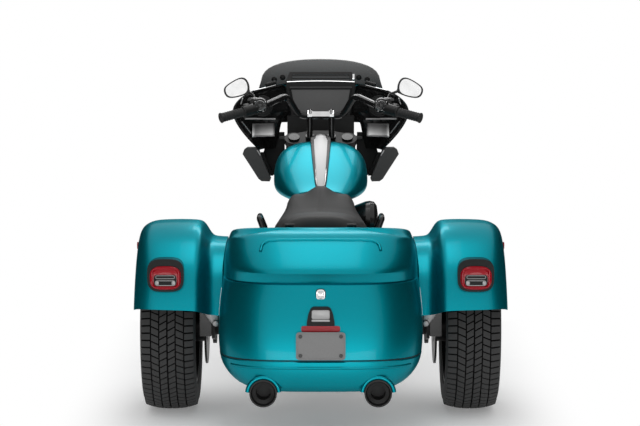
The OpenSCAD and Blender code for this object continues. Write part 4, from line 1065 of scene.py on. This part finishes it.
def disc_fittings():
    low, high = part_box("front_discs")
    hub = (low + high) / 2
    radius = (high.z - low.z) / 2
    holes, bolts = bmesh.new(), bmesh.new()
    for side, face in ((-1, low.x), (1, high.x)):
        out = Vector((side, 0, 0))
        for share, count in DISC_ROWS:
            for step in range(count):
                turn = 2 * math.pi * (step + 0.5 * (share > 0.85)) / count
                at = on_circle(face, hub, share * radius, turn)
                drum(holes, at - 0.002 * out, at + 0.0004 * out, 0.0048, 0.0042, 0.0002, 12)
        ring(holes, Vector((face, hub.y, hub.z)), out, radius * 0.68, 0.0022, 64, 8)
        for step in range(BOLT_COUNT):
            at = on_circle(face, hub, BOLT_SHARE * radius, 2 * math.pi * step / BOLT_COUNT)
            drum(bolts, at - 0.002 * out, at + 0.004 * out, 0.0075, 0.0065, 0.001, 6)
    # Dark studs in place of the drillings: partly painted shade in each hole's depth, partly the black wheel behind
    # it.
    small_part(holes, "disc_holes", SATIN_BLACK, "front_discs")
    small_part(bolts, "disc_bolts", CHROME, "front_discs")


def lug_nuts(node, side):
    low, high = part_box(node)
    hub = (low + high) / 2
    tree = surface(node)
    out = Vector((side, 0, 0))
    bm = bmesh.new()
    for step in range(LUG_COUNT):
        turn = 2 * math.pi * (step + 0.5) / LUG_COUNT
        at = tree.ray_cast(on_circle(side * 2, hub, LUG_CIRCLE, turn), -out)[0]
        if at:
            drum(bm, at - 0.004 * out, at + 0.010 * out, 0.0095, 0.0085, 0.0015, 6)
            ring(bm, at + 0.001 * out, out, 0.0105, 0.0015, 20, 6)
    small_part(bm, node + "_nuts", CHROME, node)


disc_fittings()
lug_nuts("rear_rim_left", -1)
lug_nuts("rear_rim_right", 1)

# %% [markdown]
# Between each rear tyre and the trunk a cast bracket carries the shock and the brake hose guide.
# It is a plate pulled from one face, with a boss at either end.

# %% Axle brackets
BRACKET = [
    (0.385, 0.455), (0.452, 0.448), (0.446, 0.405), (0.420, 0.372), (0.404, 0.352), (0.388, 0.352),
]
BOSSES = [(0.405, 0.432), (0.398, 0.366)]
BRACKET_Y, BRACKET_DEEP = -0.905, 0.022


def axle_bracket(side):
    bm = bmesh.new()
    verts = [bm.verts.new((side * x, BRACKET_Y, z)) for x, z in BRACKET]
    face = bm.faces.new(verts)
    deep = bmesh.ops.extrude_face_region(bm, geom=[face])["geom"]
    bmesh.ops.translate(bm, verts=corners(deep), vec=(0, BRACKET_DEEP, 0))
    soften(bm, bm.verts[:], 0.006)
    for x, z in BOSSES:
        at = Vector((side * x, BRACKET_Y, z))
        drum(bm, at + Vector((0, 0.01, 0)), at - Vector((0, 0.012, 0)), 0.013, 0.011, 0.002)
        ring(bm, at - Vector((0, 0.010, 0)), (0, 1, 0), 0.008, 0.002, 24, 8)
    small_part(bm, f"axle_bracket_{side_name(side)}", CAST_GREY, "rear_axle")


for side in (-1, 1):
    axle_bracket(side)

# %% [markdown]
# The studio: a pale floor that fades into a white surround, and soft lamps. The floor stays a
# real surface near the wheels, so it keeps their shadow, and turns to plain white further out, so
# that no horizon shows. A small lamp above the cockpit gives the tank its highlight, and dark
# cards at the sides and in front shade the turned-away paint.

# %% Studio
FLOOR_HALF = 30.0
SHADOW_HALF, SHADOW_REAR, SHADOW_FRONT = 0.62, -1.05, 1.35
FADE = 0.4
FLAG_X, FLAG_LONG, FLAG_HIGH, FLAG_MIDDLE = 2.4, 13.0, 3.3, 2.0
LIGHT_LEVEL = 0.62
FLAG_CLOTH = grained("flag_cloth", 0.01, 0.9)


def studio_floor():
    bm = bmesh.new()
    bmesh.ops.create_grid(bm, x_segments=1, y_segments=1, size=FLOOR_HALF)
    mesh = bpy.data.meshes.new("floor")
    bm.to_mesh(mesh)
    bm.free()
    finish = Finish(
        "floor", roughness=0.9, base_color=grey(0.9), emission_color=grey(1.0), emission_strength=0.2
    )
    across, along = finish.axis("X"), finish.axis("Y")
    beside = across.math("ABSOLUTE", across, 0) - SHADOW_HALF
    away = along.math("MAXIMUM", along - SHADOW_FRONT, SHADOW_REAR - along)
    fade = finish.node(
        "ShaderNodeMapRange",
        {"interpolation_type": "SMOOTHSTEP"},
        {"Value": away.math("MAXIMUM", away, beside), "From Min": 0.0, "From Max": FADE},
    )
    white = finish.node("ShaderNodeEmission", {}, {"Color": grey(1.0), "Strength": 1.0})
    rays = finish.node("ShaderNodeLightPath", out="Is Camera Ray")
    mixed = finish.tree.nodes.new("ShaderNodeMixShader")
    finish.link(fade * rays, mixed.inputs[0])
    finish.tree.links.new(finish.shader.outputs[0], mixed.inputs[1])
    finish.tree.links.new(white.socket, mixed.inputs[2])
    finish.tree.links.new(mixed.outputs[0], finish.tree.nodes["Material Output"].inputs[0])
    mesh.materials.append(finish.material)
    floor = bpy.data.objects.new("floor", mesh)
    bpy.context.scene.collection.objects.link(floor)


def lamp(name, at, aim, size, watts):
    light = bpy.data.lights.new(name, "AREA")
    light.shape = "RECTANGLE"
    light.size, light.size_y = size
    light.energy = watts
    made = bpy.data.objects.new(name, light)
    made.location = at
    made.rotation_euler = (Vector(aim) - Vector(at)).to_track_quat("-Z", "Y").to_euler()
    bpy.context.scene.collection.objects.link(made)


def flag(name, at, long, turn, high):
    """A dark upright card that only reflections see, so that the panels keep their form."""
    bm = bmesh.new()
    bmesh.ops.create_grid(bm, x_segments=1, y_segments=1, size=1)
    bmesh.ops.scale(bm, verts=bm.verts, vec=(high / 2, long / 2, 1))
    bmesh.ops.rotate(bm, verts=bm.verts, matrix=Matrix.Rotation(math.pi / 2, 3, "Y"))
    bmesh.ops.rotate(bm, verts=bm.verts, matrix=Matrix.Rotation(turn, 3, "Z"))
    bmesh.ops.translate(bm, verts=bm.verts, vec=(*at, high / 2))
    mesh = bpy.data.meshes.new(name)
    bm.to_mesh(mesh)
    bm.free()
    mesh.materials.append(FLAG_CLOTH)
    card = bpy.data.objects.new(name, mesh)
    bpy.context.scene.collection.objects.link(card)
    card.visible_camera = card.visible_diffuse = card.visible_shadow = card.visible_transmission = False


def surround(light_level):
    world = bpy.data.worlds.new("surround")
    world.use_nodes = True
    tree = world.node_tree
    rays = tree.nodes.new("ShaderNodeLightPath")
    seen, clear = tree.nodes.new("ShaderNodeMath"), tree.nodes.new("ShaderNodeMath")
    seen.operation = clear.operation = "MAXIMUM"
    level = tree.nodes.new("ShaderNodeMapRange")
    level.inputs["To Min"].default_value = light_level
    tree.links.new(rays.outputs["Is Camera Ray"], seen.inputs[0])
    tree.links.new(rays.outputs["Is Glossy Ray"], seen.inputs[1])
    tree.links.new(seen.outputs[0], clear.inputs[0])
    tree.links.new(rays.outputs["Is Transmission Ray"], clear.inputs[1])
    tree.links.new(clear.outputs[0], level.inputs["Value"])
    tree.links.new(level.outputs[0], tree.nodes["Background"].inputs["Strength"])
    tree.nodes["Background"].inputs["Color"].default_value = grey(1.0)
    bpy.context.scene.world = world


studio_floor()
surround(LIGHT_LEVEL)
lamp("top_box", (0, -1.2, 4.2), (0, -1.0, 0.6), (1.3, 3.2), 26)
lamp("cockpit_box", (0, 1.15, 1.85), (0, 0.15, 0.88), (1.0, 0.5), 6)
lamp("rear_box", (0, -4.2, 0.18), (0, -1.3, 0.25), (3.0, 0.34), 16)
flag("front_flag", (0, 8.0), 16.0, math.pi / 2, 2.6)
for side in (-1, 1):
    flag(f"flag_{side}", (side * FLAG_X, FLAG_MIDDLE), FLAG_LONG, 0, FLAG_HIGH)
